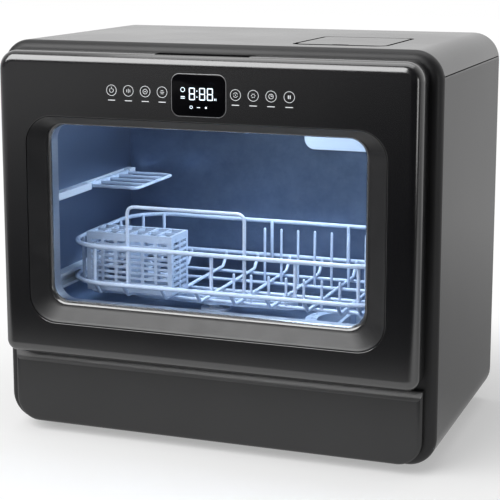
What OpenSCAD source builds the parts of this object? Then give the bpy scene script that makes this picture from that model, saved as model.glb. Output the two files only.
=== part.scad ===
// Countertop dishwasher with a drop-down glass door, a sliding wire rack, a cutlery basket,
// a fold-up cup shelf and a flush filling lid.
// X runs along the front, Y goes back from the door, Z is up. The origin is on the floor
// under the middle of the machine. All sizes are in millimetres.

/* [Cabinet] */
// Width of the cabinet
cab_w = 482; // [470:1:520]
// Height of the whole machine, feet included
cab_h = 430; // [424:1:450]
// Depth from the door front to the heads of the rear screws
cab_d = 316; // [310:1:340]
// Radius of the cabinet's long corners
corner_r = 30; // [24:1:34]
// Rounding of the cabinet's front edge
edge_r = 10; // [6:1:12]
// Thickness of the painted sheet
sheet = 2.5; // [1.5:0.1:3]
// Height of the feet
foot_h = 8; // [5:1:14]
// Diameter of a foot
foot_d = 32; // [24:1:38]

/* [Door] */
// Thickness of the door
door_t = 31; // [29:0.5:34]
// Gap between the cabinet and the closed door
door_gap = 1; // [0.8:0.1:1.5]
// Cabinet edge left free on each side of the door
side_margin = 12; // [10:1:15]
// Cabinet edge left free above the door
top_margin = 9; // [7:1:11]
// Height of the door's lower edge
door_z0 = 95; // [93:1:97]
// Radius of the door's upper corners
door_corner_r = 19; // [16:1:24]
// Radius of the door's lower corners
door_low_r = 12.5; // [12.5:0.5:16]
// Rounding of the door's front edge
door_edge_r = 11; // [8:0.5:12]
// Height of the hinge above the door's lower edge
hinge_up = 12; // [12:0.5:13]
// Distance of the hinge behind the door's front face
hinge_in = 12; // [12:0.5:13]
// Diameter of the hinge pins
pin_d = 5; // [4:0.1:6]
// Thickness of a hinge bracket
bracket_t = 4; // [3:0.1:4.4]

/* [Window] */
// Width of the window frame
bezel_w = 392; // [360:1:400]
// Height of the window frame
bezel_h = 222; // [200:1:226]
// Space between the door's upper edge and the window frame
bezel_drop = 67; // [64:1:80]
// Corner radius of the window frame
bezel_r = 30; // [26:1:36]
// Slope width at the sides of the window
slope_side = 24; // [18:1:28]
// Slope width above the window
slope_top = 10; // [8:1:14]
// Slope width below the window
slope_bottom = 23; // [18:1:24]
// Depth of the sloping window frame
slope_depth = 11.8; // [9:0.1:12.5]
// Thickness of the door glass
glass_t = 4; // [3:0.1:4.5]

/* [Controls] */
// Width of the display lens
display_w = 60; // [50:1:70]
// Height of the display lens
display_h = 44; // [36:1:46]
// Height of the display's middle below the door's upper edge
display_drop = 39.5; // [38:0.5:41]
// Half width of the finger pull in the door's upper edge
pull_half = 54; // [40:1:70]
// Depth of the finger pull
pull_depth = 12; // [9:1:13]

/* [Lower panel] */
// Distance that the lower panel stands in front of the cabinet
panel_out = 8; // [6:0.5:9]
// Height of the lower panel's upper edge
panel_z1 = 90; // [86:0.5:90]
// Height of the strip along its upper edge that leans back
panel_slope = 9; // [6:0.5:10]
// Distance that the strip's upper edge leans back
panel_lean = 2.8; // [1:0.2:4]
// Radius of its lower corners
panel_r = 26; // [20:1:27]

/* [Tub] */
// Inside width of the tub
tub_w = 404; // [396:1:404]
// Height of the tub's floor
tub_z0 = 120; // [118:1:122]
// Height of the tub's ceiling
tub_z1 = 388; // [380:1:389]
// Distance from the cabinet's front to the tub's back wall
tub_d = 243; // [240:1:244]
// Inside corner radius of the tub
tub_r = 24; // [18:1:28]
// Width of the door gasket
gasket_w = 10; // [8:0.5:10]

/* [Rack] */
// Width of the rack
rack_w = 376; // [366:1:378]
// Depth of the rack
rack_d = 209; // [195:1:210]
// Distance from the door's hinge to the rack's front
rack_back = 45; // [45:1:50]
// Corner radius of the rack
rack_r = 50; // [40:1:56]
// Thickness of the rack's wires
wire = 4; // [3:0.1:4.5]
// Height of the rack's floor wires
rack_z0 = 148; // [148:0.5:150]
// Height of the lower front wire
rim_low = 162; // [158:1:164]
// Height of the upper front wire
rim_high = 203; // [197:1:206]
// Height of the raised front loop
loop_z = 253; // [244:1:258]

/* [Basket and shelf] */
// Width of the cutlery basket
basket_w = 102; // [90:1:126]
// Depth of the cutlery basket
basket_d = 46; // [40:1:60]
// Height of the cutlery basket
basket_h = 62; // [50:1:66]
// Height of the cup shelf above the tub's floor
shelf_up = 136; // [130:1:144]
// Width of the cup shelf
shelf_w = 62; // [50:1:70]

/* [Filling lid] */
// Width of the filling lid
lid_w = 96; // [80:1:100]
// Depth of the filling lid
lid_d = 115; // [100:1:118]
// Distance of the lid's middle from the machine's middle
lid_x = 123; // [110:1:130]
// Distance from the cabinet's front to the lid
lid_in = 43; // [40:1:50]
// Corner radius of the lid
lid_r = 12; // [8:1:16]

/* [Wash system] */
// Radius of the spray arm
arm_r = 98; // [80:1:98]
// Distance of the spray arm's hub from the middle
hub_x = -45; // [-50:1:-40]
// Distance of the sump from the middle
sump_x = 110; // [106:1:114]
// Radius of the sump's mouth
sump_r = 40; // [34:1:40]
// Running gap of turning and sliding parts
run_gap = 0.1; // [0.05:0.01:0.15]
// Space between parts that are set side by side
set_gap = 0.3; // [0.2:0.05:0.4]

/* [Hidden] */
$fn = 48;
eps = 0.01;

// Cabinet
hx = cab_w / 2;
y_door = -cab_d / 2;
y_back = cab_d / 2;
y_liner = y_door + door_t;
y_rim = y_liner + door_gap;
y_shell = y_rim + edge_r;
screw_head_h = 2;
rear_t = 3;
y_rear = y_back - screw_head_h - rear_t;
top_z = cab_h - sheet;
seam_z = cab_h - corner_r + 4;
seam = 0.4;
base_top = foot_h + sheet;
screw_in = 14;
screw_z = [foot_h + 52, cab_h / 2 + 5, cab_h - 50];
screw_r = 1.9;
screw_head_r = 3.6;
foot_x = hx - 46;
foot_y = [y_rim + 60, y_rear - 30];

// Door
door_hw = hx - side_margin;
door_z1 = cab_h - top_margin;
shell_t = 2.5;
y_cavity = y_door + shell_t;
cavity_in = door_edge_r - 4;
y_cavity_full = y_door + door_edge_r - 3;
hinge_y = y_door + hinge_in;
hinge_z = door_z0 + hinge_up;
bracket_x0 = hx - 38;
sweep_gap = 0.3;
sweep_r = y_rim - hinge_y - sweep_gap;
block_in = 4.2;
bracket_x1 = bracket_x0 + bracket_t;
notch_gap = 1;
pin_x1 = door_hw - door_corner_r + 9;
nose_r = 6;
liner_t = 1;

// Window
bezel_z1 = door_z1 - bezel_drop;
bezel_z0 = bezel_z1 - bezel_h;
glass_w = bezel_w - 2 * slope_side;
glass_z0 = bezel_z0 + slope_bottom;
glass_z1 = bezel_z1 - slope_top;
glass_r = bezel_r - 12;
glass_lap = 5;
y_glass = y_door + slope_depth;
display_z = door_z1 - display_drop;
display_r = 9;
lens_t = 1.2;
lens_border = 6;
board_hw = 108;
board_h = 46;
board_off = 9;
pillar_r = 4;

// Tub
tub_hw = tub_w / 2;
tub_t = 1;
y_tub1 = y_rim + tub_d;
open_hw = tub_hw + gasket_w + 0.4;
open_z0 = tub_z0 - gasket_w - 0.4;
open_z1 = tub_z1 + gasket_w + 0.4;
flange_lap = 4.6;
sill_z = panel_z1;

// Finger pull, open upward behind the door's front edge
pull_y0 = y_door + 8;
pull_y1 = y_liner - 4;
pull_wall = 2;

// Detergent cup in the door
dispenser_hw = 58;
dispenser_z0 = tub_z0 + 5;
dispenser_z1 = glass_z0 - glass_lap - 4;
cup_x0 = -50;
cup_x1 = -10;
cup_wall = 3;

// Legs that carry the tub
leg = 18;
leg_x = 178;
leg_y = [y_rim + 34, y_tub1 - 30];

// Latch
latch_hw = 12;
latch_x = -84;
latch_z0 = open_z1 + 8;
latch_h = 8;
latch_len = 20;
slot_gap = 2;

// Rack
rack_hw = rack_w / 2;
rack_y0 = hinge_y + rack_back;
rack_y1 = rack_y0 + rack_d;
rim_t = 5;
floor_in = 16;
wire_seat = 0.05;
wire_top = rim_high + rim_t / 2;
rail_z = rim_low - 8;
rail_t = 3;
glide_w = 8;

// Wires of the rack, from the middle
long_x = [-150, -115, -70, -30, 10, 50, 92, 128, 150];
post_x = [-12, 82];
cross_y = [-58, -8, 42, 84];

// Loop and tines, from the middle
loop_x0 = -111.5;
loop_x1 = 27.5;
tine_x0 = 0;
tine_pitch = 20;
tine_rows = 8;
tine_low = 30;
tine_high = 62;
tine_r = 1.6;

// Basket
basket_x0 = -166;
basket_y0 = rack_y0 + floor_in + wire + 2;
basket_z0 = rack_z0 + wire + set_gap;
basket_wall = 2.5;
basket_rows = 9;
basket_cols = 6;
basket_ends = 2;
basket_bar = 3.6;
basket_slat = 2.2;
basket_edge = 5;
grid_bar = 2.6;
grid_t = 3;
grid_cols = 6;
grid_rows = 2;

// Cup shelf
shelf_z = tub_z0 + shelf_up;
shelf_axis_x = -tub_hw + 6;
shelf_y0 = basket_y0 + basket_d + 22;
shelf_y1 = y_tub1 - 24;
shelf_bar = 8;
shelf_ribs = 5;
shelf_pivot_r = 3.5;
shelf_pin_r = 2;

// Lid
lid_x0 = lid_x - lid_w / 2;
lid_x1 = lid_x + lid_w / 2;
lid_y0 = y_rim + lid_in;
lid_y1 = lid_y0 + lid_d;
lid_gap = 1.8;
lid_t = 5;
lid_plate = 3;
lid_pin_r = 1.5;
lid_pin_len = 4.4;
lid_axis_y = lid_y1 - lid_t / 2;
lid_axis_z = cab_h - lid_t / 2;
tray_t = 2;
tray_z0 = tub_z1 + tub_t + 6;

// Tank behind and beside the tub
tank_z0 = 100;
tank_z1 = tub_z1 + tub_t + 1;
tank_x0 = -60;
tank_y0 = y_tub1 + tub_t + set_gap;
tank_y1 = y_rear - 2;
tank_side_x0 = tub_hw + tub_t + set_gap;
tank_side_x1 = hx - sheet - 2;
tank_side_y0 = y_rim + 60;
tank_t = 2;
neck_x = lid_x;
neck_y = (tank_y0 + tank_y1) / 2;
neck_r = 10;

// Wash system
hub_y = 3;
sump_y = 0;
sump_z0 = 62;
sump_t = 3;
filter_r = 34;
filter_t = 2;
pump_z = 58;
volute_r = 34;
volute_t = 24;
motor_r = 28;
motor_len = 70;
volute_x1 = sump_x - sump_r - sump_t - 18;
volute_x0 = volute_x1 - volute_t;
wash_x = (volute_x0 + volute_x1) / 2;
duct_w = 18;
duct_z0 = pump_z + volute_r + set_gap;
duct_z1 = duct_z0 + duct_w;
duct_x0 = hub_x - 14;
duct_wall = 2;
duct_x1 = volute_x0 + volute_t;
arm_z = tub_z0 + 9;
arm_t = 8;
drain_z = 58;
drain_r = 22;
drain_y0 = sump_y + sump_r + sump_t + 16;
drain_t = 16;
drain_motor_len = 32;

// Float of the level switch
float_x = -150;
float_y = 78;
float_r = 13;

// Rear recess
recess_x0 = 66;
recess_x1 = 206;
recess_z0 = 24;
recess_z1 = 88;
recess_d = 20;
recess_y = y_rear + rear_t - recess_d;
spout_x = sump_x - drain_r - 6;
spout_z = drain_z;
inlet_x = 150;
inlet_z = 58;
gland_x = 188;
gland_z = 44;

// Fan
fan_x = -150;
fan_z = 340;
fan_r = 34;
fan_t = 22;
fan_y0 = y_tub1 + tub_t + set_gap;
fan_gap = 1;
vent_pitch = 7;
vent_rows = 9;
vent_h = 3;

// Main board on the rear panel
pcb_x0 = -205;
pcb_z0 = tub_z0 + 20;
pcb_w = 110;
pcb_h = 122;
pcb_t = 1.6;
pcb_off = 10;

// Lamp on the tub's back wall
lamp_x0 = 24;
lamp_x1 = 126;
lamp_z0 = 293;
lamp_z1 = 319;
lamp_t = 5;
lamp_r = 12.5;
lamp_leds = 4;
led = 4;

black = [0.10, 0.10, 0.11];
dark = [0.22, 0.22, 0.23];
steel = [0.72, 0.75, 0.78];
white = [0.88, 0.91, 0.95];
pale_blue = [0.70, 0.78, 0.88];
green = [0.10, 0.35, 0.20];

// ---------- helpers ----------

// Rounded rectangle with true arcs, from its two corners
module rrect(x0, y0, x1, y1, r) {
  translate([x0 + r, y0]) square([x1 - x0 - 2 * r, y1 - y0]);
  translate([x0, y0 + r]) square([x1 - x0, y1 - y0 - 2 * r]);
  for (x = [x0 + r, x1 - r])
    for (y = [y0 + r, y1 - r])
      translate([x, y]) circle(r);
}

// Stands a drawing in X and Z up, from depth y0 to y1
module upright(y0, y1) {
  translate([0, y1, 0]) rotate([90, 0, 0]) linear_extrude(y1 - y0) children();
}

// Runs a drawing in Y and Z along X, from x0 to x1
module along_x(x0, x1) {
  translate([x0, 0, 0]) rotate([90, 0, 90]) linear_extrude(x1 - x0) children();
}

// A box from its two corners
module box(a, b) {
  translate(a) cube([b[0] - a[0], b[1] - a[1], b[2] - a[2]]);
}

// A plate in X and Z whose front edge at y0 is rounded by f, with upper corners of radius r
// and lower corners of radius q
module soft_plate(x0, z0, x1, z1, r, q, y0, y1, f) {
  steps = 6;
  translate([0, y1, 0]) rotate([90, 0, 0])
    hull()
      for (c = [[x0 + r, z1 - r, r], [x1 - r, z1 - r, r], [x0 + q, z0 + q, q], [x1 - q, z0 + q, q]])
        translate([c[0], c[1], 0])
          rotate_extrude($fn = 40)
            polygon(concat([[0, 0], [c[2], 0]],
              [for (i = [0 : steps]) let (a = 90 * i / steps)
                [c[2] - f + f * cos(a), y1 - y0 - f + f * sin(a)]],
              [[0, y1 - y0]]));
}

// Cylinder along Y
module rod_y(x, z, r, y0, y1) {
  translate([x, y1, z]) rotate([90, 0, 0]) cylinder(r = r, h = y1 - y0);
}

// Cylinder along X
module rod_x(y, z, r, x0, x1) {
  translate([x0, y, z]) rotate([0, 90, 0]) cylinder(r = r, h = x1 - x0);
}

// Outline of the cabinet, drawn in by d
module cabinet_outline(d) {
  rrect(-hx + d, foot_h + d, hx - d, cab_h - d, corner_r - d);
}

// Outline of the tub, let out by d
module tub_outline(d) {
  rrect(-tub_hw - d, tub_z0 - d, tub_hw + d, tub_z1 + d, tub_r + d);
}

// ---------- cabinet ----------

module wrap() {
  upright(y_shell, y_rear) difference() {
    cabinet_outline(0);
    cabinet_outline(sheet);
  }
}

// Ears under the top skin that hold the lid's pins
module lid_ears() {
  ear = 3.2;
  for (x = [lid_x0 - lid_gap - ear, lid_x1 + lid_gap])
    box([x, lid_axis_y - 4, lid_axis_z - 3.5], [x + ear, lid_axis_y + 4, top_z + eps]);
}

module top_cover() color(dark) difference() {
  union() {
    intersection() {
      wrap();
      box([-hx, y_shell, seam_z], [hx, y_rear, cab_h]);
    }
    lid_ears();
  }
  translate([0, 0, top_z - 1]) linear_extrude(sheet + 2)
    rrect(lid_x0 - lid_gap, lid_y0 - lid_gap, lid_x1 + lid_gap, lid_y1 + lid_gap, lid_r);
  box([lid_x0 - lid_gap, lid_y1 - lid_r, lid_axis_z - 4], [lid_x1 + lid_gap, lid_y1 + lid_gap, cab_h + 1]);
  rod_x(lid_axis_y, lid_axis_z, lid_pin_r + run_gap, lid_x0 - 6, lid_x1 + 6);
}

// One side with its lower corner and the flange that the rear panel is screwed to
module side_panel(s) color(dark) {
  flange = 24;
  edge = hx - corner_r + seam;
  difference() {
    union() {
      intersection() {
        wrap();
        box([s > 0 ? edge : -hx, y_shell, 0], [s > 0 ? hx : -edge, y_rear, seam_z - seam]);
      }
      intersection() {
        upright(y_rear - 2, y_rear) cabinet_outline(sheet - eps);
        box([s > 0 ? hx - flange : -hx, 0, base_top + 4], [s > 0 ? hx : -hx + flange, y_back, seam_z - 4]);
      }
    }
    for (z = screw_z)
      rod_y(s * (hx - screw_in), z, screw_r + 0.05, y_rear - 3, y_back);
  }
}

module side_panel_left() side_panel(-1);
module side_panel_right() side_panel(1);

module rear_panel() color(dark) difference() {
  union() {
    upright(y_rear, y_rear + rear_t) cabinet_outline(0);
    box([recess_x0, recess_y, recess_z0], [recess_x1, y_rear + eps, recess_z1]);
  }
  box([recess_x0 + 2, recess_y + 2, recess_z0 + 2], [recess_x1 - 2, y_back, recess_z1 - 2]);
  rod_y(spout_x, spout_z, 8, recess_y - 1, y_rear);
  rod_y(inlet_x, inlet_z, 8, recess_y - 1, y_rear);
  rod_y(gland_x, gland_z, 6, recess_y - 1, y_rear);
  for (i = [0 : vent_rows - 1])
    box([fan_x - 30, y_rear - 1, fan_z - 30 + i * vent_pitch],
        [fan_x + 30, y_back, fan_z - 30 + vent_h + i * vent_pitch]);
  for (x = [-1, 1])
    for (z = screw_z)
      rod_y(x * (hx - screw_in), z, screw_r + 0.05, y_rear - 1, y_back);
}

module rear_screws() color(steel)
  for (x = [-1, 1])
    for (z = screw_z) {
      rod_y(x * (hx - screw_in), z, screw_r, y_rear - 1.8, y_rear + rear_t);
      rod_y(x * (hx - screw_in), z, screw_head_r, y_rear + rear_t, y_back);
    }

module feet() color(black)
  for (x = [-foot_x, foot_x])
    for (y = foot_y)
      translate([x, y, 0]) {
        cylinder(r1 = foot_d / 2 - 1, r2 = foot_d / 2, h = 1);
        translate([0, 0, 1]) cylinder(d = foot_d, h = foot_h - 1);
      }

module base_tray() color(dark) {
  box([-hx + corner_r, y_shell, foot_h], [hx - corner_r, y_rear, base_top]);
  for (x = [-leg_x, leg_x])
    for (y = leg_y)
      box([x - leg / 2, y - leg / 2, base_top - eps], [x + leg / 2, y + leg / 2, tub_z0 - tub_t - set_gap]);
  box([volute_x0 - 45, -12, base_top - eps], [volute_x0 - 15, 12, pump_z - motor_r - set_gap]);
  box([sump_x - 12, drain_y0 + drain_t + 8, base_top - eps],
      [sump_x + 12, drain_y0 + drain_t + 24, drain_z - 18 - set_gap]);
}

module front_frame() color(black) difference() {
  soft_plate(-hx, foot_h, hx, cab_h, corner_r, corner_r, y_rim, y_shell, edge_r - eps);
  upright(y_rim - 1, y_shell + 1) rrect(-open_hw, open_z0, open_hw, open_z1, tub_r + gasket_w);
  upright(y_rim - 1, y_shell + 1) rrect(-open_hw, foot_h + 14, open_hw, sill_z - 6, 10);
  for (s = [-1, 1])
    box([s > 0 ? bracket_x0 - notch_gap : -bracket_x1 - notch_gap, y_rim - 1, hinge_z - nose_r - 2],
        [s > 0 ? bracket_x1 + notch_gap : -bracket_x0 + notch_gap, y_shell + 1, hinge_z + nose_r + 2]);
  box([latch_x - latch_hw - slot_gap, y_rim - 1, latch_z0 - slot_gap],
      [latch_x + latch_hw + slot_gap, y_shell + 1, latch_z0 + latch_h + slot_gap]);
}

// Outline of the lower panel, drawn in by d
module panel_outline(d) {
  hw = door_hw - d;
  z0 = foot_h + 3.5 + d;
  difference() {
    rrect(-hw, z0, hw, panel_z1 + 40, panel_r - d);
    translate([-hw - 1, panel_z1 - d]) square([2 * hw + 2, 60]);
  }
}

module lower_panel() color(dark) {
  y0 = y_rim - panel_out;
  difference() {
    intersection() {
      upright(y0, y_rim) panel_outline(0);
      along_x(-hx, hx) polygon([[y0, 0], [y0, panel_z1 - panel_slope], [y0 + panel_lean, panel_z1],
        [y_rim, panel_z1], [y_rim, 0]]);
    }
    intersection() {
      upright(y0, y_rim + 1) panel_outline(sheet);
      along_x(-hx, hx) polygon([[y0 + sheet, 0], [y0 + sheet, panel_z1 - panel_slope],
        [y0 + sheet + panel_lean, panel_z1 - sheet], [y_rim + 1, panel_z1 - sheet], [y_rim + 1, 0]]);
    }
  }
}

// ---------- door ----------

// Space in the door's lower edge for a hinge bracket's nose
module hinge_notches()
  for (s = [-1, 1])
    box([s > 0 ? bracket_x0 - notch_gap : -bracket_x1 - notch_gap, hinge_y - nose_r - 0.6, door_z0 - 1],
        [s > 0 ? bracket_x1 + notch_gap : -bracket_x0 + notch_gap, y_rim + 1, hinge_z + nose_r + 0.6]);

// What the door's lower back edge must leave free to swing past the cabinet
module swept_edge()
  along_x(-hx, hx) difference() {
    translate([hinge_y, door_z0 - 1]) square([y_rim - hinge_y + 1, hinge_z - door_z0 + 1]);
    translate([hinge_y, hinge_z]) circle(sweep_r);
  }

module board_pillars()
  for (x = [-board_hw + 8, board_hw - 8])
    for (z = [display_z - board_h / 2 + 6, display_z + board_h / 2 - 6])
      rod_y(x, z, pillar_r, y_cavity - eps, y_cavity + board_off);

// Outside of the door
module door_form()
  soft_plate(-door_hw, door_z0, door_hw, door_z1, door_corner_r, door_low_r, y_door, y_liner, door_edge_r);

// Hollow of the door, drawn in further where the door's front edge is rounded
module door_hollow() {
  upright(y_cavity, y_liner + 1)
    rrect(-door_hw + cavity_in, door_z0 + cavity_in, door_hw - cavity_in, door_z1 - cavity_in,
      door_corner_r - cavity_in);
  upright(y_cavity_full, y_liner + 1)
    rrect(-door_hw + shell_t, door_z0 + shell_t, door_hw - shell_t, door_z1 - shell_t,
      door_corner_r - shell_t);
}

module door_shell() color(black) difference() {
  union() {
    difference() {
      door_form();
      door_hollow();
    }
    board_pillars();
    box([-pull_half - pull_wall, pull_y0 - pull_wall, door_z1 - pull_depth - pull_wall],
        [pull_half + pull_wall, pull_y1 + pull_wall, door_z1 - shell_t + eps]);
    intersection() {
      upright(hinge_y - 6, hinge_y + 7)
        rrect(-door_hw + block_in, door_z0 + block_in - 2, door_hw - block_in, door_z1,
          door_corner_r - block_in);
      for (s = [-1, 1])
        box([s > 0 ? bracket_x0 - 7 : -door_hw, y_door, door_z0],
            [s > 0 ? door_hw : -bracket_x0 + 7, y_liner, hinge_z + 8]);
    }
    box([-door_hw + door_corner_r, y_liner - 8, door_z0 + 1],
        [door_hw - door_corner_r, y_liner - liner_t - 0.1, door_z0 + 9]);
  }
  box([-pull_half, pull_y0, door_z1 - pull_depth], [pull_half, pull_y1, door_z1 + 1]);
  upright(y_door - 1, y_cavity + 2)
    rrect(-bezel_w / 2, bezel_z0, bezel_w / 2, bezel_z1, bezel_r);
  upright(y_door - 1, y_door + lens_t)
    rrect(-display_w / 2, display_z - display_h / 2, display_w / 2, display_z + display_h / 2, display_r);
  upright(y_door, y_cavity + 1)
    translate([-display_w / 2 + lens_border, display_z - display_h / 2 + lens_border])
      square([display_w - 2 * lens_border, display_h - 2 * lens_border]);
  hinge_notches();
  swept_edge();
  for (s = [-1, 1])
    rod_x(hinge_y, hinge_z, pin_d / 2 + 0.02, s > 0 ? bracket_x0 - 8 : -pin_x1 - 0.5,
      s > 0 ? pin_x1 + 0.5 : -bracket_x0 + 8);
}

// A ring whose front slopes in from the door's face to the glass
module window_frame() color(dark) {
  fit = set_gap;
  lip = 1.2;
  difference() {
    upright(y_door, y_glass)
      rrect(-bezel_w / 2 + fit, bezel_z0 + fit, bezel_w / 2 - fit, bezel_z1 - fit, bezel_r - fit);
    hull() {
      upright(y_door - 1, y_door)
        rrect(-bezel_w / 2 + lip, bezel_z0 + lip, bezel_w / 2 - lip, bezel_z1 - lip, bezel_r - lip);
      upright(y_glass, y_glass + 1)
        rrect(-glass_w / 2, glass_z0, glass_w / 2, glass_z1, glass_r);
    }
  }
}

module door_glass() color([0.55, 0.65, 0.78, 0.35])
  upright(y_glass + eps, y_glass + glass_t)
    rrect(-glass_w / 2 - glass_lap, glass_z0 - glass_lap, glass_w / 2 + glass_lap, glass_z1 + glass_lap,
      glass_r + glass_lap);

module door_liner() color(steel) {
  in = shell_t + set_gap;
  win_hw = glass_w / 2 + 2;
  y_seat = y_glass + glass_t + set_gap;
  difference() {
    union() {
      upright(y_liner - liner_t, y_liner)
        rrect(-door_hw + in, door_z0 + in, door_hw - in, door_z1 - in, door_corner_r - in);
      upright(y_seat, y_liner - eps)
        rrect(-win_hw - liner_t, glass_z0 - 2 - liner_t, win_hw + liner_t, glass_z1 + 2 + liner_t,
          glass_r + 3);
    }
    upright(y_seat - 1, y_liner + 1)
      rrect(-win_hw, glass_z0 - 2, win_hw, glass_z1 + 2, glass_r + 2);
    box([-dispenser_hw - set_gap, y_liner - 3, dispenser_z0 - set_gap],
        [dispenser_hw + set_gap, y_liner + 1, dispenser_z1 + set_gap]);
    box([latch_x - latch_hw - 0.5, y_liner - 3, latch_z0 - 0.5],
        [latch_x + latch_hw + 0.5, y_liner + 1, latch_z0 + latch_h + 0.5]);
    hinge_notches();
    swept_edge();
  }
}

module display_lens() color([0.05, 0.05, 0.06])
  upright(y_door, y_door + lens_t - 0.05)
    rrect(-display_w / 2 + 0.15, display_z - display_h / 2 + 0.15, display_w / 2 - 0.15,
      display_z + display_h / 2 - 0.15, display_r - 0.15);

module display_module() color(white) {
  w = display_w / 2 - lens_border - set_gap;
  h = display_h / 2 - lens_border - set_gap;
  box([-w, y_door + lens_t + 0.1, display_z - h], [w, y_cavity + board_off, display_z + h]);
}

module control_board() color(green) {
  y0 = y_cavity + board_off + 0.05;
  box([-board_hw, y0, display_z - board_h / 2], [board_hw, y0 + 1.6, display_z + board_h / 2]);
  for (i = [0 : 3])
    box([-80 + i * 48, y0 + 1.6 - eps, display_z - 6], [-66 + i * 48, y0 + 4.6, display_z + 8]);
}

module latch_tongue() color(white) translate([latch_x, 0, 0]) difference() {
  union() {
    box([-latch_hw - 5, y_liner - liner_t - 3, latch_z0 - 3],
        [latch_hw + 5, y_liner - liner_t - 0.05, latch_z0 + latch_h + 2]);
    box([-latch_hw, y_liner - liner_t - 1, latch_z0], [latch_hw, y_liner + latch_len, latch_z0 + latch_h]);
  }
  box([-6, y_liner + 8, latch_z0 - 1], [6, y_liner + 15, latch_z0 + latch_h + 1]);
}

module hinge_pins() color(steel)
  for (s = [-1, 1])
    rod_x(hinge_y, hinge_z, pin_d / 2, s > 0 ? bracket_x0 - 7 : -pin_x1, s > 0 ? pin_x1 : -bracket_x0 + 7);

module hinge_bracket(s) color(steel) {
  flange_t = 3;
  difference() {
    union() {
      along_x(s > 0 ? bracket_x0 : -bracket_x1, s > 0 ? bracket_x1 : -bracket_x0) {
        translate([hinge_y, hinge_z]) circle(nose_r);
        translate([hinge_y, hinge_z - nose_r]) square([y_shell + 30 - hinge_y, 2 * nose_r]);
        translate([y_shell + 0.1, hinge_z - 40]) square([30, 40]);
      }
      box([s > 0 ? bracket_x0 : -hx + 6, y_shell + 0.1, hinge_z - 40],
          [s > 0 ? hx - 6 : -bracket_x0, y_shell + 0.1 + flange_t, hinge_z + nose_r]);
    }
    rod_x(hinge_y, hinge_z, pin_d / 2 + run_gap, s > 0 ? bracket_x0 - 1 : -bracket_x1 - 1,
      s > 0 ? bracket_x1 + 1 : -bracket_x0 + 1);
  }
}

module hinge_bracket_left() hinge_bracket(-1);
module hinge_bracket_right() hinge_bracket(1);

// Detergent cup below the window, open to the tub under a sliding lid
module dispenser_body() color(white) difference() {
  union() {
    box([-dispenser_hw, y_glass + glass_t + 1, dispenser_z0], [dispenser_hw, y_liner + 0.2, dispenser_z1]);
    box([-dispenser_hw - 3, y_liner + 0.05, dispenser_z0 - 1.5],
        [dispenser_hw + 3, y_liner + 1.2, dispenser_z1 + 1.5]);
    for (z = [dispenser_z0 - 1.5, dispenser_z1 - 0.5])
      box([cup_x0 - 4, y_liner + 1, z], [cup_x1 + 48, y_liner + 4.2, z + 2]);
  }
  box([cup_x0, y_glass + glass_t + cup_wall, dispenser_z0 + cup_wall],
      [cup_x1, y_liner + 5, dispenser_z1 - cup_wall]);
}

module dispenser_lid() color(pale_blue) {
  box([cup_x0 - 3, y_liner + 1.3, dispenser_z0 + 0.7], [cup_x1 + 3, y_liner + 3, dispenser_z1 - 0.7]);
  box([cup_x0 + 8, y_liner + 3 - eps, dispenser_z0 + 5], [cup_x0 + 11, y_liner + 5, dispenser_z1 - 5]);
}

module door_lock() color(white) translate([latch_x, 0, 0]) difference() {
  box([-latch_hw - 10, y_shell + 0.1, latch_z0 - 3.4], [latch_hw + 10, y_shell + 34, latch_z0 + latch_h + 5]);
  box([-latch_hw - slot_gap, y_shell - 1, latch_z0 - slot_gap],
      [latch_hw + slot_gap, y_shell + 20, latch_z0 + latch_h + slot_gap]);
}

// ---------- tub ----------

module tub() color(steel) difference() {
  union() {
    upright(y_shell + 0.1, y_tub1 + tub_t) tub_outline(tub_t);
    upright(y_shell + 0.1, y_shell + 1.1) tub_outline(gasket_w + flange_lap);
  }
  upright(y_shell - 1, y_tub1) tub_outline(0);
  translate([sump_x, sump_y, tub_z0 - 5]) cylinder(r = sump_r, h = 10);
  translate([hub_x, hub_y, tub_z0 - 5]) cylinder(r = 12, h = 10);
  translate([float_x, float_y, tub_z0 - 5]) cylinder(r = 5, h = 10);
  for (i = [-3 : 3])
    box([fan_x - 20, y_tub1 - 1, fan_z - 1.5 + i * 7], [fan_x + 20, y_tub1 + 2, fan_z + 1.5 + i * 7]);
}

module tub_gasket() color([0.35, 0.35, 0.37]) difference() {
  upright(y_rim - 0.4, y_shell) tub_outline(gasket_w);
  upright(y_rim - 1, y_shell + 1) tub_outline(0);
}

module lamp_lens() color([0.75, 0.87, 1]) difference() {
  upright(y_tub1 - lamp_t, y_tub1 - 0.05) rrect(lamp_x0, lamp_z0, lamp_x1, lamp_z1, lamp_r);
  upright(y_tub1 - lamp_t + 1.5, y_tub1 + 1)
    rrect(lamp_x0 + 2, lamp_z0 + 2, lamp_x1 - 2, lamp_z1 - 2, lamp_r - 2);
}

module lamp_board() color(white) {
  pitch = (lamp_x1 - lamp_x0 - 24) / (lamp_leds - 1);
  z0 = (lamp_z0 + lamp_z1 - led) / 2;
  upright(y_tub1 - 1.8, y_tub1 - 0.1)
    rrect(lamp_x0 + 3, lamp_z0 + 3, lamp_x1 - 3, lamp_z1 - 3, lamp_r - 3);
  for (i = [0 : lamp_leds - 1])
    translate([lamp_x0 + 12 - led / 2 + i * pitch, y_tub1 - 2.8, z0]) cube([led, 1 + eps, led]);
}

// Channels on the side walls that carry the rack's glides
module rack_rails() color(white)
  for (s = [-1, 1]) {
    x0 = rack_hw + 1;
    x1 = tub_hw - 0.05;
    y0 = y_shell + 8;
    y1 = y_tub1 - 3;
    z1 = rim_low + rim_t + set_gap;
    for (z = [rail_z, z1])
      box([s > 0 ? x0 : -x1, y0, z], [s > 0 ? x1 : -x0, y1, z + rail_t]);
    box([s > 0 ? x1 - 2 : -x1, y0, rail_z + eps], [s > 0 ? x1 : -x1 + 2, y1, z1 + rail_t - eps]);
  }

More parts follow.
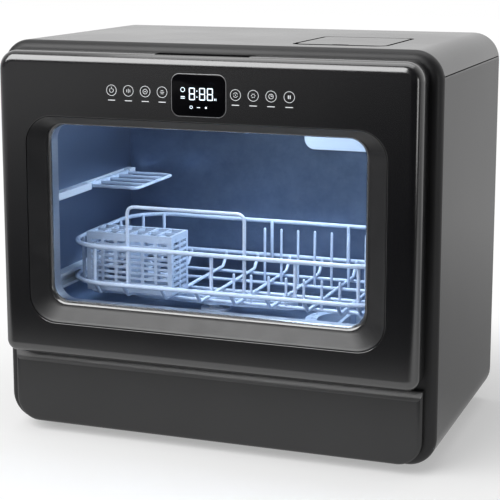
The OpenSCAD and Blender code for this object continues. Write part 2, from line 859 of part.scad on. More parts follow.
// Bar on the left wall, with a recess in which the cup shelf turns
module shelf_rail() color(white) difference() {
  box([-tub_hw + 0.05, y_shell + 10, shelf_z - shelf_bar / 2],
      [-tub_hw + 10, y_tub1 - 8, shelf_z + shelf_bar / 2]);
  box([shelf_axis_x - shelf_pivot_r - set_gap, shelf_y0 - set_gap, shelf_z - shelf_bar],
      [-tub_hw + 12, shelf_y1 + set_gap, shelf_z + shelf_bar]);
  rod_y(shelf_axis_x, shelf_z, shelf_pin_r + run_gap, shelf_y0 - 8, shelf_y1 + 8);
}

// ---------- wash system ----------

module arm_outline() {
  circle(18);
  for (a = [0, 180])
    rotate(a) {
      polygon([[0, -15], [arm_r - 11, -11], [arm_r - 11, 11], [0, 15]]);
      translate([arm_r - 11, 0]) circle(11);
    }
}

module spray_arm() color(pale_blue) translate([hub_x, hub_y, arm_z]) difference() {
  union() {
    linear_extrude(arm_t) arm_outline();
    translate([0, 0, arm_t - eps]) cylinder(r = 12, h = 4);
  }
  translate([0, 0, -1]) cylinder(r = 8 + run_gap, h = arm_t - 1);
  for (a = [0, 180])
    rotate(a)
      for (i = [0 : 3])
        translate([30 + i * 16, i % 2 == 0 ? 4 : -4, arm_t - 3]) cylinder(r = 1.6, h = 10);
}

module spray_hub() color(white) translate([hub_x, hub_y, 0]) difference() {
  union() {
    translate([0, 0, duct_z1 + 0.1]) cylinder(r = 11.5, h = tub_z0 + 3 - duct_z1);
    translate([0, 0, tub_z0 + 0.1]) cylinder(r = 17, h = 3);
    translate([0, 0, tub_z0]) cylinder(r = 8, h = arm_z - tub_z0 + arm_t - 2.5);
  }
  translate([0, 0, duct_z1 - 1]) cylinder(r = 6, h = 60);
}

module sump() color(dark) translate([sump_x, sump_y, 0]) difference() {
  union() {
    translate([0, 0, sump_z0]) cylinder(r = sump_r + sump_t, h = tub_z0 - tub_t - 0.1 - sump_z0);
    translate([0, 0, tub_z0 - tub_t - 3]) cylinder(r = sump_r + 9, h = 2.9);
    translate([-sump_r - sump_t - 18 + set_gap, 0, sump_z0 + 14]) rotate([0, 90, 0]) cylinder(r = 10, h = 22);
    translate([0, sump_r, sump_z0 + 12]) rotate([-90, 0, 0]) cylinder(r = 9, h = sump_t + 16 - set_gap);
  }
  translate([0, 0, sump_z0 + sump_t]) cylinder(r = sump_r, h = 80);
  translate([-sump_r - 30, 0, sump_z0 + 14]) rotate([0, 90, 0]) cylinder(r = 7, h = 40);
  translate([0, sump_r - 10, sump_z0 + 12]) rotate([-90, 0, 0]) cylinder(r = 6, h = 60);
}

module sump_filter() color(pale_blue) translate([sump_x, sump_y, 0]) {
  difference() {
    union() {
      translate([0, 0, tub_z0 + 0.1]) cylinder(r = sump_r + 5, h = 2);
      translate([0, 0, sump_z0 + 10]) cylinder(r = filter_r, h = tub_z0 - sump_z0 - 9);
    }
    translate([0, 0, sump_z0 + 12]) cylinder(r = filter_r - filter_t, h = 80);
    for (i = [0 : 11])
      rotate(i * 30) translate([0, -3, sump_z0 + 18]) cube([60, 6, 30]);
  }
  box([-2, -filter_r + 1, sump_z0 + 14], [2, filter_r - 1, tub_z0 + 5]);
}

module wash_pump() color(dark) difference() {
  union() {
    rod_x(0, pump_z, volute_r, volute_x0, volute_x1);
    rod_x(0, pump_z, motor_r, volute_x0 - motor_len, volute_x0 + 1);
  }
  rod_x(0, pump_z, volute_r - 3, volute_x0 + 3, volute_x1 - 3);
  rod_x(0, sump_z0 + 14, 7, volute_x1 - 5, volute_x1 + 1);
  rod_x(0, pump_z, 3 + run_gap, volute_x0 - 20, volute_x0 + 5);
  translate([wash_x, 0, pump_z]) cylinder(r = 6, h = volute_r + 1);
}

module wash_impeller() color(white) {
  rod_x(0, pump_z, 3, volute_x0 - 18, volute_x0 + 6);
  rod_x(0, pump_z, 20, volute_x0 + 6, volute_x0 + 9);
  for (i = [0 : 5])
    translate([volute_x0 + 9 - eps, 0, pump_z]) rotate([i * 60, 0, 0])
      translate([0, 4, -1.2]) cube([9, 16, 2.4]);
  rod_x(0, pump_z, 5, volute_x0 + 8, volute_x0 + 18);
}

module wash_duct() color(dark) difference() {
  box([duct_x0, -duct_w / 2, duct_z0], [duct_x1, duct_w / 2, duct_z1]);
  box([duct_x0 + duct_wall, -duct_w / 2 + duct_wall, duct_z0 + duct_wall],
      [duct_x1 - duct_wall, duct_w / 2 - duct_wall, duct_z1 - duct_wall]);
  translate([hub_x, hub_y, duct_z1 - 5]) cylinder(r = 5, h = 10);
  translate([wash_x, 0, duct_z0 - 1]) cylinder(r = 6, h = 6);
}

module heater() color(steel) {
  rod_y(duct_x0 - 17, duct_z0 + duct_w / 2, 14, -45, 45);
  rod_x(0, duct_z0 + duct_w / 2, 6, duct_x0 - 6, duct_x0 - 0.1);
  for (y = [-52, 45 - eps])
    rod_y(duct_x0 - 17, duct_z0 + duct_w / 2, 4, y, y + 7);
}

module drain_pump() color(dark) difference() {
  union() {
    rod_y(sump_x, drain_z, drain_r, drain_y0, drain_y0 + drain_t);
    rod_y(sump_x, drain_z, 18, drain_y0 + drain_t - eps, drain_y0 + drain_t + drain_motor_len);
  }
  rod_y(sump_x, drain_z, drain_r - 2.5, drain_y0 + 2.5, drain_y0 + drain_t - 2.5);
  rod_y(sump_x, sump_z0 + 12, 5, drain_y0 - 1, drain_y0 + 4);
  rod_y(sump_x, drain_z, 2.5 + run_gap, drain_y0 + drain_t - 4, drain_y0 + drain_t + 14);
  rod_x(drain_y0 + drain_t / 2, drain_z, 4, sump_x - drain_r - 1, sump_x - drain_r + 6);
}

module drain_impeller() color(white) {
  rod_y(sump_x, drain_z, 2.5, drain_y0 + 6, drain_y0 + drain_t + 12);
  for (i = [0 : 3])
    translate([sump_x, drain_y0 + 4, drain_z]) rotate([0, i * 90, 0])
      translate([1.5, 0, -1]) cube([13, 8, 2]);
}

module drain_duct() color(dark) difference() {
  box([spout_x - 6, drain_y0 + 1, spout_z - 6], [spout_x + 6 - 0.1, recess_y - 0.1, spout_z + 6]);
  box([spout_x - 4, drain_y0 + 3, spout_z - 4], [spout_x + 4, recess_y + 1, spout_z + 4]);
  rod_x(drain_y0 + drain_t / 2, drain_z, 3.5, spout_x, spout_x + 8);
}

module float_cup() color(white) translate([float_x, float_y, 0]) {
  difference() {
    translate([0, 0, tub_z0 + 0.3]) cylinder(r = float_r, h = 13);
    translate([0, 0, tub_z0 - 1]) cylinder(r = float_r - 2, h = 12);
  }
  translate([0, 0, tub_z0 - 12]) cylinder(r = 4, h = 24);
}

// ---------- water tank and filling ----------

module tank_plan(d) {
  polygon([[tank_x0 + d, tank_y0 + d], [tank_side_x0 + d, tank_y0 + d], [tank_side_x0 + d, tank_side_y0 + d],
    [tank_side_x1 - d, tank_side_y0 + d], [tank_side_x1 - d, tank_y1 - d], [tank_x0 + d, tank_y1 - d]]);
}

module water_tank() color([0.75, 0.8, 0.85]) difference() {
  translate([0, 0, tank_z0]) linear_extrude(tank_z1 - tank_z0) tank_plan(0);
  translate([0, 0, tank_z0 + tank_t]) linear_extrude(tank_z1 - tank_z0 - 2 * tank_t) tank_plan(tank_t);
  translate([neck_x, neck_y, tank_z1 - 5]) cylinder(r = neck_r, h = 10);
  translate([inlet_x, recess_y - 15, tank_z0 - 1]) cylinder(r = 5, h = 5);
}

// Tray under the lid, with a channel that runs back to the tank's neck
module fill_tray() color(dark) {
  x0 = lid_x0 + 3;
  x1 = lid_x1 - 3;
  y0 = lid_y0 + 2;
  y1 = lid_y1 - 9;
  ch = 20;
  difference() {
    union() {
      box([x0, y0, tray_z0], [x1, y1, cab_h - lid_plate - set_gap]);
      box([lid_x0 - 7, lid_y0 - 7, top_z - 2.6], [lid_x1 + 7, lid_axis_y - 9, top_z - set_gap - 0.5]);
      box([lid_x - ch, y1 - 3, tray_z0], [lid_x + ch, neck_y + 14, tray_z0 + 20]);
    }
    box([x0 + tray_t, y0 + tray_t, tray_z0 + tray_t], [x1 - tray_t, y1 - tray_t, top_z + 5]);
    box([lid_x - ch + tray_t, y1 - 6, tray_z0 + tray_t], [lid_x + ch - tray_t, neck_y + 12, tray_z0 + 18]);
    translate([neck_x, neck_y, tray_z0 - 1]) cylinder(r = neck_r - 2, h = 6);
  }
  difference() {
    translate([neck_x, neck_y, tank_z1 + 0.1]) cylinder(r = neck_r, h = tray_z0 - tank_z1 - 0.1 + eps);
    translate([neck_x, neck_y, tank_z1 - 1]) cylinder(r = neck_r - 2, h = 20);
  }
}

module fill_filter() color(steel) {
  x0 = lid_x0 + 5.5;
  x1 = lid_x1 - 5.5;
  y0 = lid_y0 + 4.5;
  y1 = lid_y1 - 11.5;
  z = tray_z0 + 12;
  difference() {
    box([x0, y0, z], [x1, y1, z + 2]);
    for (i = [0 : 8])
      for (j = [0 : 9])
        box([x0 + 5 + i * 8.4, y0 + 5 + j * 9, z - 1], [x0 + 10 + i * 8.4, y0 + 11 + j * 9, z + 3]);
  }
  for (x = [x0, x1 - 3])
    for (y = [y0, y1 - 3])
      box([x, y, tray_z0 + tray_t + 0.1], [x + 3, y + 3, z + eps]);
}

module fill_lid() color(dark) {
  difference() {
    union() {
      translate([0, 0, cab_h - lid_plate]) linear_extrude(lid_plate) difference() {
        rrect(lid_x0, lid_y0, lid_x1, lid_y1 + lid_r, lid_r);
        translate([lid_x0 - 1, lid_axis_y]) square([lid_w + 2, 40]);
      }
      rod_x(lid_axis_y, lid_axis_z, lid_t / 2, lid_x0, lid_x1);
      box([lid_x0, lid_axis_y - 3, cab_h - lid_t], [lid_x1, lid_axis_y, cab_h - 2]);
    }
    translate([lid_x, lid_y0 + 6, cab_h - 0.8]) linear_extrude(2) rrect(-9, -2, 9, 2, 1.9);
  }
  rod_x(lid_axis_y, lid_axis_z, lid_pin_r, lid_x0 - lid_pin_len, lid_x0 + eps);
  rod_x(lid_axis_y, lid_axis_z, lid_pin_r, lid_x1 - eps, lid_x1 + lid_pin_len);
}

// ---------- drying fan and electrics ----------

module fan_housing() color(dark) {
  half = fan_r + 5;
  difference() {
    box([fan_x - half, fan_y0, fan_z - half], [fan_x + half, fan_y0 + fan_t, fan_z + half]);
    rod_y(fan_x, fan_z, fan_r + fan_gap, fan_y0 - 1, fan_y0 + fan_t - 3);
    for (i = [0 : 3])
      rotate_about_fan(i * 90 + 45) upright(fan_y0 + fan_t - 4, fan_y0 + fan_t + 1)
        translate([11, -10]) square([20, 20]);
  }
  rod_y(fan_x, fan_z, 2, fan_y0 + 6, fan_y0 + fan_t - 2);
}

module rotate_about_fan(a) {
  translate([fan_x, 0, fan_z]) rotate([0, a, 0]) children();
}

module fan_impeller() color(white) difference() {
  union() {
    rod_y(fan_x, fan_z, 12, fan_y0 + 3, fan_y0 + fan_t - 4);
    for (i = [0 : 6])
      rotate_about_fan(i * 360 / 7)
        translate([11, fan_y0 + 4, -1]) rotate([28, 0, 0]) cube([fan_r - 11, 12, 1.6]);
  }
  rod_y(fan_x, fan_z, 2 + run_gap, fan_y0 + 2, fan_y0 + fan_t);
}

module main_board() color(green) {
  y1 = y_rear - pcb_off;
  y0 = y1 - pcb_t;
  box([pcb_x0, y0, pcb_z0], [pcb_x0 + pcb_w, y1, pcb_z0 + pcb_h]);
  for (x = [pcb_x0 + 5, pcb_x0 + pcb_w - 5])
    for (z = [pcb_z0 + 5, pcb_z0 + pcb_h - 5])
      rod_y(x, z, 3, y1 - eps, y_rear - 0.05);
  box([pcb_x0 + 15, y0 - 12.4, pcb_z0 + 10], [pcb_x0 + 45, y0 + eps, pcb_z0 + 40]);
  box([pcb_x0 + 55, y0 - 10.4, pcb_z0 + 10], [pcb_x0 + 77, y0 + eps, pcb_z0 + 32]);
  for (i = [0 : 2])
    rod_y(pcb_x0 + 25 + i * 26, pcb_z0 + 90, 7, y0 - 14.4, y0 + eps);
}

module inlet_valve() color(white) difference() {
  union() {
    box([inlet_x - 14, recess_y - 30, inlet_z - 16], [inlet_x + 14, recess_y - 0.1, inlet_z + 16]);
    translate([inlet_x, recess_y - 15, inlet_z]) cylinder(r = 10, h = tank_z0 - inlet_z - 0.1);
  }
  rod_y(inlet_x, inlet_z, 6, recess_y - 20, recess_y + 1);
}

module inlet_connector() color(steel) difference() {
  union() {
    rod_y(inlet_x, inlet_z, 13, recess_y + 4, y_rear + 1);
    rod_y(inlet_x, inlet_z, 17, recess_y + 2.05, recess_y + 5);
    rod_y(inlet_x, inlet_z, 7.9, recess_y + 0.05, recess_y + 6);
  }
  rod_y(inlet_x, inlet_z, 6, recess_y - 1, y_back);
}

module drain_spout() color(dark) difference() {
  union() {
    rod_y(spout_x, spout_z, 9, recess_y + 4, y_rear + 1);
    rod_y(spout_x, spout_z, 10.5, y_rear - 4, y_rear - 1);
    rod_y(spout_x, spout_z, 14, recess_y + 2.05, recess_y + 5);
    rod_y(spout_x, spout_z, 7.9, recess_y + 0.05, recess_y + 6);
  }
  rod_y(spout_x, spout_z, 5, recess_y - 1, y_back);
}

module cord_gland() color(black) difference() {
  union() {
    rod_y(gland_x, gland_z, 9, recess_y + 2.05, recess_y + 12);
    rod_y(gland_x, gland_z, 5.9, recess_y - 4, recess_y + 4);
  }
  rod_y(gland_x, gland_z, 3.5, recess_y - 5, recess_y + 13);
}

// ---------- rack ----------

module rim(z) {
  translate([0, 0, z]) linear_extrude(rim_t) difference() {
    rrect(-rack_hw, rack_y0, rack_hw, rack_y1, rack_r);
    rrect(-rack_hw + rim_t, rack_y0 + rim_t, rack_hw - rim_t, rack_y1 - rim_t, rack_r - rim_t);
  }
}

module rack_rims() color(white) {
  rim(rim_low);
  rim(rim_high);
}

// Half of a U-shaped wire, as points from the top of one leg: a leg, a slanted foot, a floor
function u_points(a, b, low, high, foot) =
  [[a, high], [a, low + foot], [a + foot, low], [b - foot, low], [b, low + foot], [b, high]];

// A bent flat wire: the band between an outer and an inner U
module u_wire(a, b, low, high) {
  foot = floor_in - wire;
  outer = u_points(a, b, low, high, foot);
  inner = u_points(a + wire, b - wire, low + wire, high, foot - 1.6);
  polygon(concat(outer, [for (i = [5 : -1 : 0]) inner[i]]));
}

module rack_wires() color(white) {
  in = rim_t + wire_seat;
  for (x = long_x)
    along_x(x - wire / 2, x + wire / 2)
      u_wire(rack_y0 + in + end_in(x), rack_y1 - in - end_in(x), rack_z0, rim_low + rim_t / 2);
  for (x = [long_x[0], long_x[len(long_x) - 1]])
    for (y = [rack_y0 + in + end_in(x), rack_y1 - in - wire - end_in(x)])
      box([x - wire / 2, y, rim_low + rim_t / 2 - eps], [x + wire / 2, y + wire, wire_top]);
  for (x = post_x)
    for (y = [rack_y0 + in, rack_y1 - in - wire])
      box([x - wire / 2, y, rim_low], [x + wire / 2, y + wire, wire_top]);
  for (y = cross_y)
    upright(y - wire / 2, y + wire / 2)
      u_wire(-rack_hw + in + side_in(y), rack_hw - in - side_in(y), rack_z0 - wire - wire_seat, wire_top);
}

// How far the rack's rounded corner draws a wire in, when it lies past the corner's start
function corner_in(over) =
  let (r = rack_r - rim_t)
  over <= 0 ? 0 : r - sqrt(r * r - over * over);
function end_in(x) = corner_in(abs(x) + wire / 2 - (rack_hw - rack_r));
function side_in(y) = corner_in(abs(y - (rack_y0 + rack_y1) / 2) + wire / 2 - (rack_d / 2 - rack_r));

module rack_loop() color(white) {
  y0 = rack_y0 + rim_t + 0.1;
  r = 8;
  upright(y0, y0 + wire) difference() {
    rrect(loop_x0, rim_low - 1, loop_x1, loop_z, r);
    rrect(loop_x0 + wire, rim_low - 30, loop_x1 - wire, loop_z - wire, r - wire);
    translate([loop_x0 - 1, rim_low - 40]) square([200, 40]);
  }
}

module rack_tines() color(white)
  for (i = [0 : tine_rows - 1])
    for (row = [[cross_y[0], tine_low], [cross_y[2], tine_high]])
      translate([tine_x0 + i * tine_pitch, row[0], rack_z0])
        cylinder(r = tine_r, h = row[1], $fn = 24);

module rack_glides() color(pale_blue)
  for (s = [-1, 1])
    for (y = [rack_y0 + rack_r + 12, rack_y1 - rack_r - 12])
      box([s > 0 ? rack_hw + 0.05 : -rack_hw - glide_w, y - 12, rail_z + rail_t + set_gap],
          [s > 0 ? rack_hw + glide_w : -rack_hw - 0.05, y + 12, rim_low + rim_t]);

// ---------- cutlery basket ----------

// Where slot i of n begins, when the slots share a length and leave bars between them
function slot_at(length, n, bar, i) = basket_edge + i * (length - 2 * basket_edge + bar) / n;
function slot_len(length, n, bar) = (length - 2 * basket_edge + bar) / n - bar;

module cutlery_basket() color(pale_blue) translate([basket_x0, basket_y0, basket_z0]) {
  slot_w = slot_len(basket_w, basket_cols, basket_bar);
  slot_d = slot_len(basket_d, basket_ends, basket_bar);
  slot_h = slot_len(basket_h, basket_rows, basket_slat);
  difference() {
    cube([basket_w, basket_d, basket_h]);
    box([basket_wall, basket_wall, basket_wall],
        [basket_w - basket_wall, basket_d - basket_wall, basket_h + 1]);
    for (i = [0 : basket_cols - 1])
      for (j = [0 : basket_rows - 1])
        translate([slot_at(basket_w, basket_cols, basket_bar, i), -1,
          slot_at(basket_h, basket_rows, basket_slat, j)])
          cube([slot_w, basket_d + 2, slot_h]);
    for (i = [0 : basket_ends - 1])
      for (j = [0 : basket_rows - 1])
        translate([-1, slot_at(basket_d, basket_ends, basket_bar, i),
          slot_at(basket_h, basket_rows, basket_slat, j)])
          cube([basket_w + 2, slot_d, slot_h]);
    for (i = [0 : basket_cols - 1])
      for (j = [0 : basket_ends - 1])
        translate([slot_at(basket_w, basket_cols, basket_bar, i),
          slot_at(basket_d, basket_ends, basket_bar, j), -1])
          cube([slot_w, slot_d, basket_wall + 2]);
  }
  box([basket_w / 2 - 1.2, 1, 1], [basket_w / 2 + 1.2, basket_d - 1, basket_h - 4]);
}

// Slotted grid that lies on the basket
module basket_grid() color(pale_blue) {
  x0 = basket_x0;
  x1 = x0 + basket_w;
  y0 = basket_y0;
  y1 = y0 + basket_d;
  z = basket_z0 + basket_h + 0.05;
  slot_w = (basket_w - 2 * grid_bar) / grid_cols - grid_bar;
  slot_d = (basket_d - 2 * grid_bar) / grid_rows - grid_bar;
  difference() {
    box([x0, y0, z], [x1, y1, z + grid_t]);
    for (i = [0 : grid_cols - 1])
      for (j = [0 : grid_rows - 1])
        translate([x0 + 1.5 * grid_bar + i * (slot_w + grid_bar),
          y0 + 1.5 * grid_bar + j * (slot_d + grid_bar), z - 1])
          cube([slot_w, slot_d, grid_t + 2]);
  }
}

// ---------- cup shelf ----------

module cup_shelf() color(white) {
  x1 = shelf_axis_x + shelf_w;
  step = (shelf_y1 - shelf_y0 - wire) / (shelf_ribs - 1);
  rod_y(shelf_axis_x, shelf_z, shelf_pivot_r, shelf_y0, shelf_y1);
  box([x1 - wire, shelf_y0, shelf_z - wire / 2], [x1, shelf_y1, shelf_z + wire / 2]);
  for (i = [0 : shelf_ribs - 1])
    box([shelf_axis_x, shelf_y0 + i * step, shelf_z - wire / 2 + eps],
        [x1 - 1, shelf_y0 + i * step + wire, shelf_z + wire / 2 - eps]);
  rod_y(shelf_axis_x, shelf_z, shelf_pin_r, shelf_y0 - 6, shelf_y1 + 6);
}

top_cover();
side_panel_left();
side_panel_right();
rear_panel();
base_tray();
feet();
front_frame();
lower_panel();
rear_screws();
door_shell();
window_frame();
door_glass();
door_liner();
display_lens();
display_module();
control_board();
latch_tongue();
hinge_pins();
dispenser_body();
dispenser_lid();
hinge_bracket_left();
hinge_bracket_right();
door_lock();
tub();
tub_gasket();
lamp_lens();
lamp_board();
rack_rails();
shelf_rail();
spray_arm();
spray_hub();
sump();
sump_filter();
wash_pump();
wash_impeller();
wash_duct();
heater();
drain_pump();
drain_impeller();
drain_duct();
float_cup();
water_tank();
fill_tray();
fill_filter();
fill_lid();
fan_housing();
fan_impeller();
main_board();
inlet_valve();
inlet_connector();
drain_spout();
cord_gland();
rack_rims();
rack_wires();
rack_loop();
rack_tines();
rack_glides();
cutlery_basket();
basket_grid();
cup_shelf();
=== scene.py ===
"""Looks for the countertop dishwasher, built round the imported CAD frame. Metres, X right, Y back, Z up."""
import math

import bmesh
import bpy
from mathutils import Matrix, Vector


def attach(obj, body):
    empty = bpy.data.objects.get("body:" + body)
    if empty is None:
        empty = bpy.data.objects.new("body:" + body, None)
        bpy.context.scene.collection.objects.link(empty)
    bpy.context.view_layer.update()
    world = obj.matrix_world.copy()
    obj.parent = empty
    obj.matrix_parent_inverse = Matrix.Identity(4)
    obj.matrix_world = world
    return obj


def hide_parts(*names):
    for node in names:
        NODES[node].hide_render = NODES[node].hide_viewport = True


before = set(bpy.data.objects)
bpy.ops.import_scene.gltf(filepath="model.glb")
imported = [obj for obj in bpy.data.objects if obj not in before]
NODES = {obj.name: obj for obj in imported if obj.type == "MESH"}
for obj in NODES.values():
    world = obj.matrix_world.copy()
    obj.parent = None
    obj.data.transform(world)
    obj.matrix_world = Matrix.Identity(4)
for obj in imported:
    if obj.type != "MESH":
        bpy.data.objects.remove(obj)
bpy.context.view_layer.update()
MM = 0.001

# ---------- sizes, as in part.scad, in millimetres ----------
HX, CAB_H, FOOT_H = 241.0, 430.0, 8.0
CORNER_R, EDGE_R = 30.0, 10.0
Y_DOOR, Y_LINER, Y_RIM, Y_SHELL, Y_REAR = -158.0, -127.0, -126.0, -116.0, 153.0
DOOR_HW, DOOR_Z0, DOOR_Z1, DOOR_R, DOOR_LOW_R, DOOR_F = 229.0, 95.0, 421.0, 19.0, 12.5, 11.0
HINGE_X, HINGE_Y, HINGE_Z, SWEEP_R = 205.0, -146.0, 107.0, 19.7
NOTCH_HW, KNUCKLE_R = 3.0, 6.6
LATCH_X, LATCH_HW, LATCH_Z0, LATCH_Z1 = -84.0, 14.0, 404.4, 416.4
BZ_HW, BZ_Z0, BZ_Z1, BZ_R = 196.0, 132.0, 354.0, 30.0
GL_HW, GL_Z0, GL_Z1, GL_R = 172.0, 155.0, 344.0, 18.0
Y_GLASS = Y_DOOR + 11.8
DISPLAY_Z, DISPLAY_HW, DISPLAY_HH, DISPLAY_R = 381.5, 30.0, 22.0, 9.0
PULL_HW, PULL_TAPER, PULL_DEPTH, PULL_Y0, PULL_Y1 = 54.0, 3.0, 12.0, -150.0, -131.0
PANEL_Y, PANEL_Z1, PANEL_SLOPE, PANEL_LEAN, PANEL_R, PANEL_LIFT = -134.0, 90.0, 9.0, 2.8, 26.0, 3.5
TUB_HW, TUB_Z0, TUB_Z1, MOUTH_OUT, MOUTH_R = 202.0, 120.0, 388.0, 10.4, 34.0
RACK_HW, RACK_Y0, RACK_Y1, RACK_R = 188.0, -101.0, 108.0, 50.0
RIM_LOW, RIM_HIGH, RIM_T, WIRE = 162.0, 203.0, 5.0, 4.0
RACK_Z0, FLOOR_IN = 148.0, 16.0
LOOP_X0, LOOP_X1, LOOP_Z = -111.5, 27.5, 253.0
LONG_X = (-150, -115, -70, -30, 10, 50, 92, 128, 150)
POST_X = (-12, 82)
CROSS_Y = (-58, -8, 42, 84)
TINE_N, TINE_PITCH, TINE_LOW, TINE_TALL = 8, 20, 30, 62
SHELF_Z, SHELF_X, SHELF_W, SHELF_Y0, SHELF_Y1, SHELF_BARS = 256.0, -196.0, 62.0, -11.0, 93.0, 3
LID_X0, LID_X1, LID_Y0, LID_Y1, LID_R, LID_GAP = 75.0, 171.0, -83.0, 32.0, 12.0, 1.8
SEAM_Z, SHEET = 404.0, 2.5


# ---------- materials ----------
class Mat:
    """A Principled material whose colour, roughness and bump come from noise in object space."""

    def __init__(self, name, color, rough=0.4, metal=0.0):
        self.m = bpy.data.materials.new(name)
        self.m.use_nodes = True
        self.t = self.m.node_tree
        self.b = self.t.nodes["Principled BSDF"]
        self.b.inputs["Base Color"].default_value = (*color, 1)
        self.b.inputs["Roughness"].default_value = rough
        self.b.inputs["Metallic"].default_value = metal
        self.coord = self.t.nodes.new("ShaderNodeTexCoord").outputs["Object"]

    def put(self, **values):
        for key, value in values.items():
            self.b.inputs[key.replace("_", " ")].default_value = value
        return self

    def noise(self, scale, detail=4.0, stretch=(1, 1, 1), rough=0.55):
        m = self.t.nodes.new("ShaderNodeMapping")
        m.inputs["Scale"].default_value = stretch
        n = self.t.nodes.new("ShaderNodeTexNoise")
        n.inputs["Scale"].default_value = scale
        n.inputs["Detail"].default_value = detail
        n.inputs["Roughness"].default_value = rough
        self.t.links.new(self.coord, m.inputs["Vector"])
        self.t.links.new(m.outputs["Vector"], n.inputs["Vector"])
        return n.outputs["Fac"]

    def span(self, fac, lo, hi, a=0.35, b=0.65):
        r = self.t.nodes.new("ShaderNodeMapRange")
        r.inputs["From Min"].default_value = a
        r.inputs["From Max"].default_value = b
        r.inputs["To Min"].default_value = lo
        r.inputs["To Max"].default_value = hi
        self.t.links.new(fac, r.inputs["Value"])
        return r.outputs["Result"]

    def tint(self, fac, dark, light, a=0.3, b=0.7):
        r = self.t.nodes.new("ShaderNodeValToRGB")
        r.color_ramp.elements[0].position = a
        r.color_ramp.elements[0].color = (*dark, 1)
        r.color_ramp.elements[1].position = b
        r.color_ramp.elements[1].color = (*light, 1)
        self.t.links.new(fac, r.inputs["Fac"])
        self.t.links.new(r.outputs["Color"], self.b.inputs["Base Color"])
        return self

    def roughen(self, fac, lo, hi):
        self.t.links.new(self.span(fac, lo, hi), self.b.inputs["Roughness"])
        return self

    def bump(self, fac, strength, depth=0.0003):
        n = self.t.nodes.new("ShaderNodeBump")
        n.inputs["Strength"].default_value = strength
        n.inputs["Distance"].default_value = depth
        self.t.links.new(fac, n.inputs["Height"])
        self.t.links.new(n.outputs["Normal"], self.b.inputs["Normal"])
        return self


def painted(name, dark, light, rough):
    """Powder-painted sheet: a fine orange peel and slightly uneven gloss."""
    w = Mat(name, light, rough[0]).put(Specular_IOR_Level=0.9)
    w.tint(w.noise(9), dark, light)
    w.roughen(w.noise(6, 2), *rough)
    return w.bump(w.noise(1500, 2), 0.05, 0.00003)


def moulded(name, dark, light, rough, grain=0.12, scale=1400):
    """Moulded plastic: a fine leather grain and soft colour changes."""
    w = Mat(name, light, rough[0])
    w.tint(w.noise(14), dark, light)
    w.roughen(w.noise(60), *rough)
    return w.bump(w.noise(scale, 3), grain, 0.00008)


def brushed(name, dark, light, rough, stretch):
    """Brushed sheet: long fine scratches along one axis."""
    w = Mat(name, light, rough[0], 1.0)
    scratch = w.noise(60, 6, stretch, 0.7)
    w.tint(scratch, dark, light)
    w.roughen(scratch, *rough)
    return w.bump(scratch, 0.15, 0.00005)


M = {}
M["cabinet"] = painted("cabinet_paint", (0.008, 0.008, 0.010), (0.011, 0.011, 0.013), (0.16, 0.20))
M["door"] = painted("door_black", (0.003, 0.003, 0.004), (0.005, 0.005, 0.006), (0.20, 0.23))
M["door"].put(Coat_Weight=1.0, Coat_IOR=1.75, Coat_Roughness=0.15)
M["rim"] = painted("rim_black", (0.003, 0.003, 0.004), (0.006, 0.006, 0.007), (0.42, 0.48))
M["rim"].put(Specular_IOR_Level=0.6)
M["panel"] = painted("panel_dark", (0.009, 0.009, 0.010), (0.013, 0.013, 0.014), (0.34, 0.40))
# Painted highlight: the sloping strip along the lower panel's top is painted lighter than the panel
M["ledge"] = painted("panel_ledge_painted_highlight", (0.034, 0.034, 0.035), (0.042, 0.042, 0.043), (0.30, 0.36))
M["ledge"].put(Coat_Weight=1.0, Coat_IOR=1.9, Coat_Roughness=0.30)
# Painted shade: a dull black with no reflection for the rounded edges round the lid
M["lip"] = moulded("seal_lip", (0.003, 0.003, 0.003), (0.006, 0.006, 0.006), (0.75, 0.90), 0.1)
M["lip"].put(Specular_IOR_Level=0.0)
M["lens_edge"] = painted("lens_edge", (0.10, 0.10, 0.105), (0.16, 0.16, 0.165), (0.25, 0.32))
M["surround"] = moulded("surround_satin", (0.008, 0.008, 0.009), (0.012, 0.012, 0.013), (0.30, 0.36), 0.03)
M["surround"].put(Specular_IOR_Level=0.9)
M["bead"] = moulded("surround_bead", (0.010, 0.010, 0.011), (0.015, 0.015, 0.016), (0.22, 0.26), 0.03)
M["bead"].put(Specular_IOR_Level=0.9, Coat_Weight=1.0, Coat_IOR=1.9, Coat_Roughness=0.16)
M["grey"] = moulded("grey_moulding", (0.10, 0.105, 0.11), (0.15, 0.155, 0.16), (0.40, 0.52), 0.2)
M["black_in"] = moulded("black_moulding", (0.012, 0.012, 0.013), (0.02, 0.02, 0.022), (0.35, 0.5), 0.2)
M["white"] = moulded("white_moulding", (0.66, 0.70, 0.76), (0.74, 0.78, 0.84), (0.28, 0.38), 0.1)
M["pale"] = moulded("pale_moulding", (0.42, 0.50, 0.62), (0.54, 0.62, 0.74), (0.25, 0.36), 0.1)
M["tank"] = moulded("tank_moulding", (0.62, 0.68, 0.74), (0.72, 0.77, 0.82), (0.30, 0.42), 0.1)
M["wire"] = moulded("wire_coating", (0.56, 0.64, 0.78), (0.68, 0.76, 0.88), (0.18, 0.28), 0.08, 500)
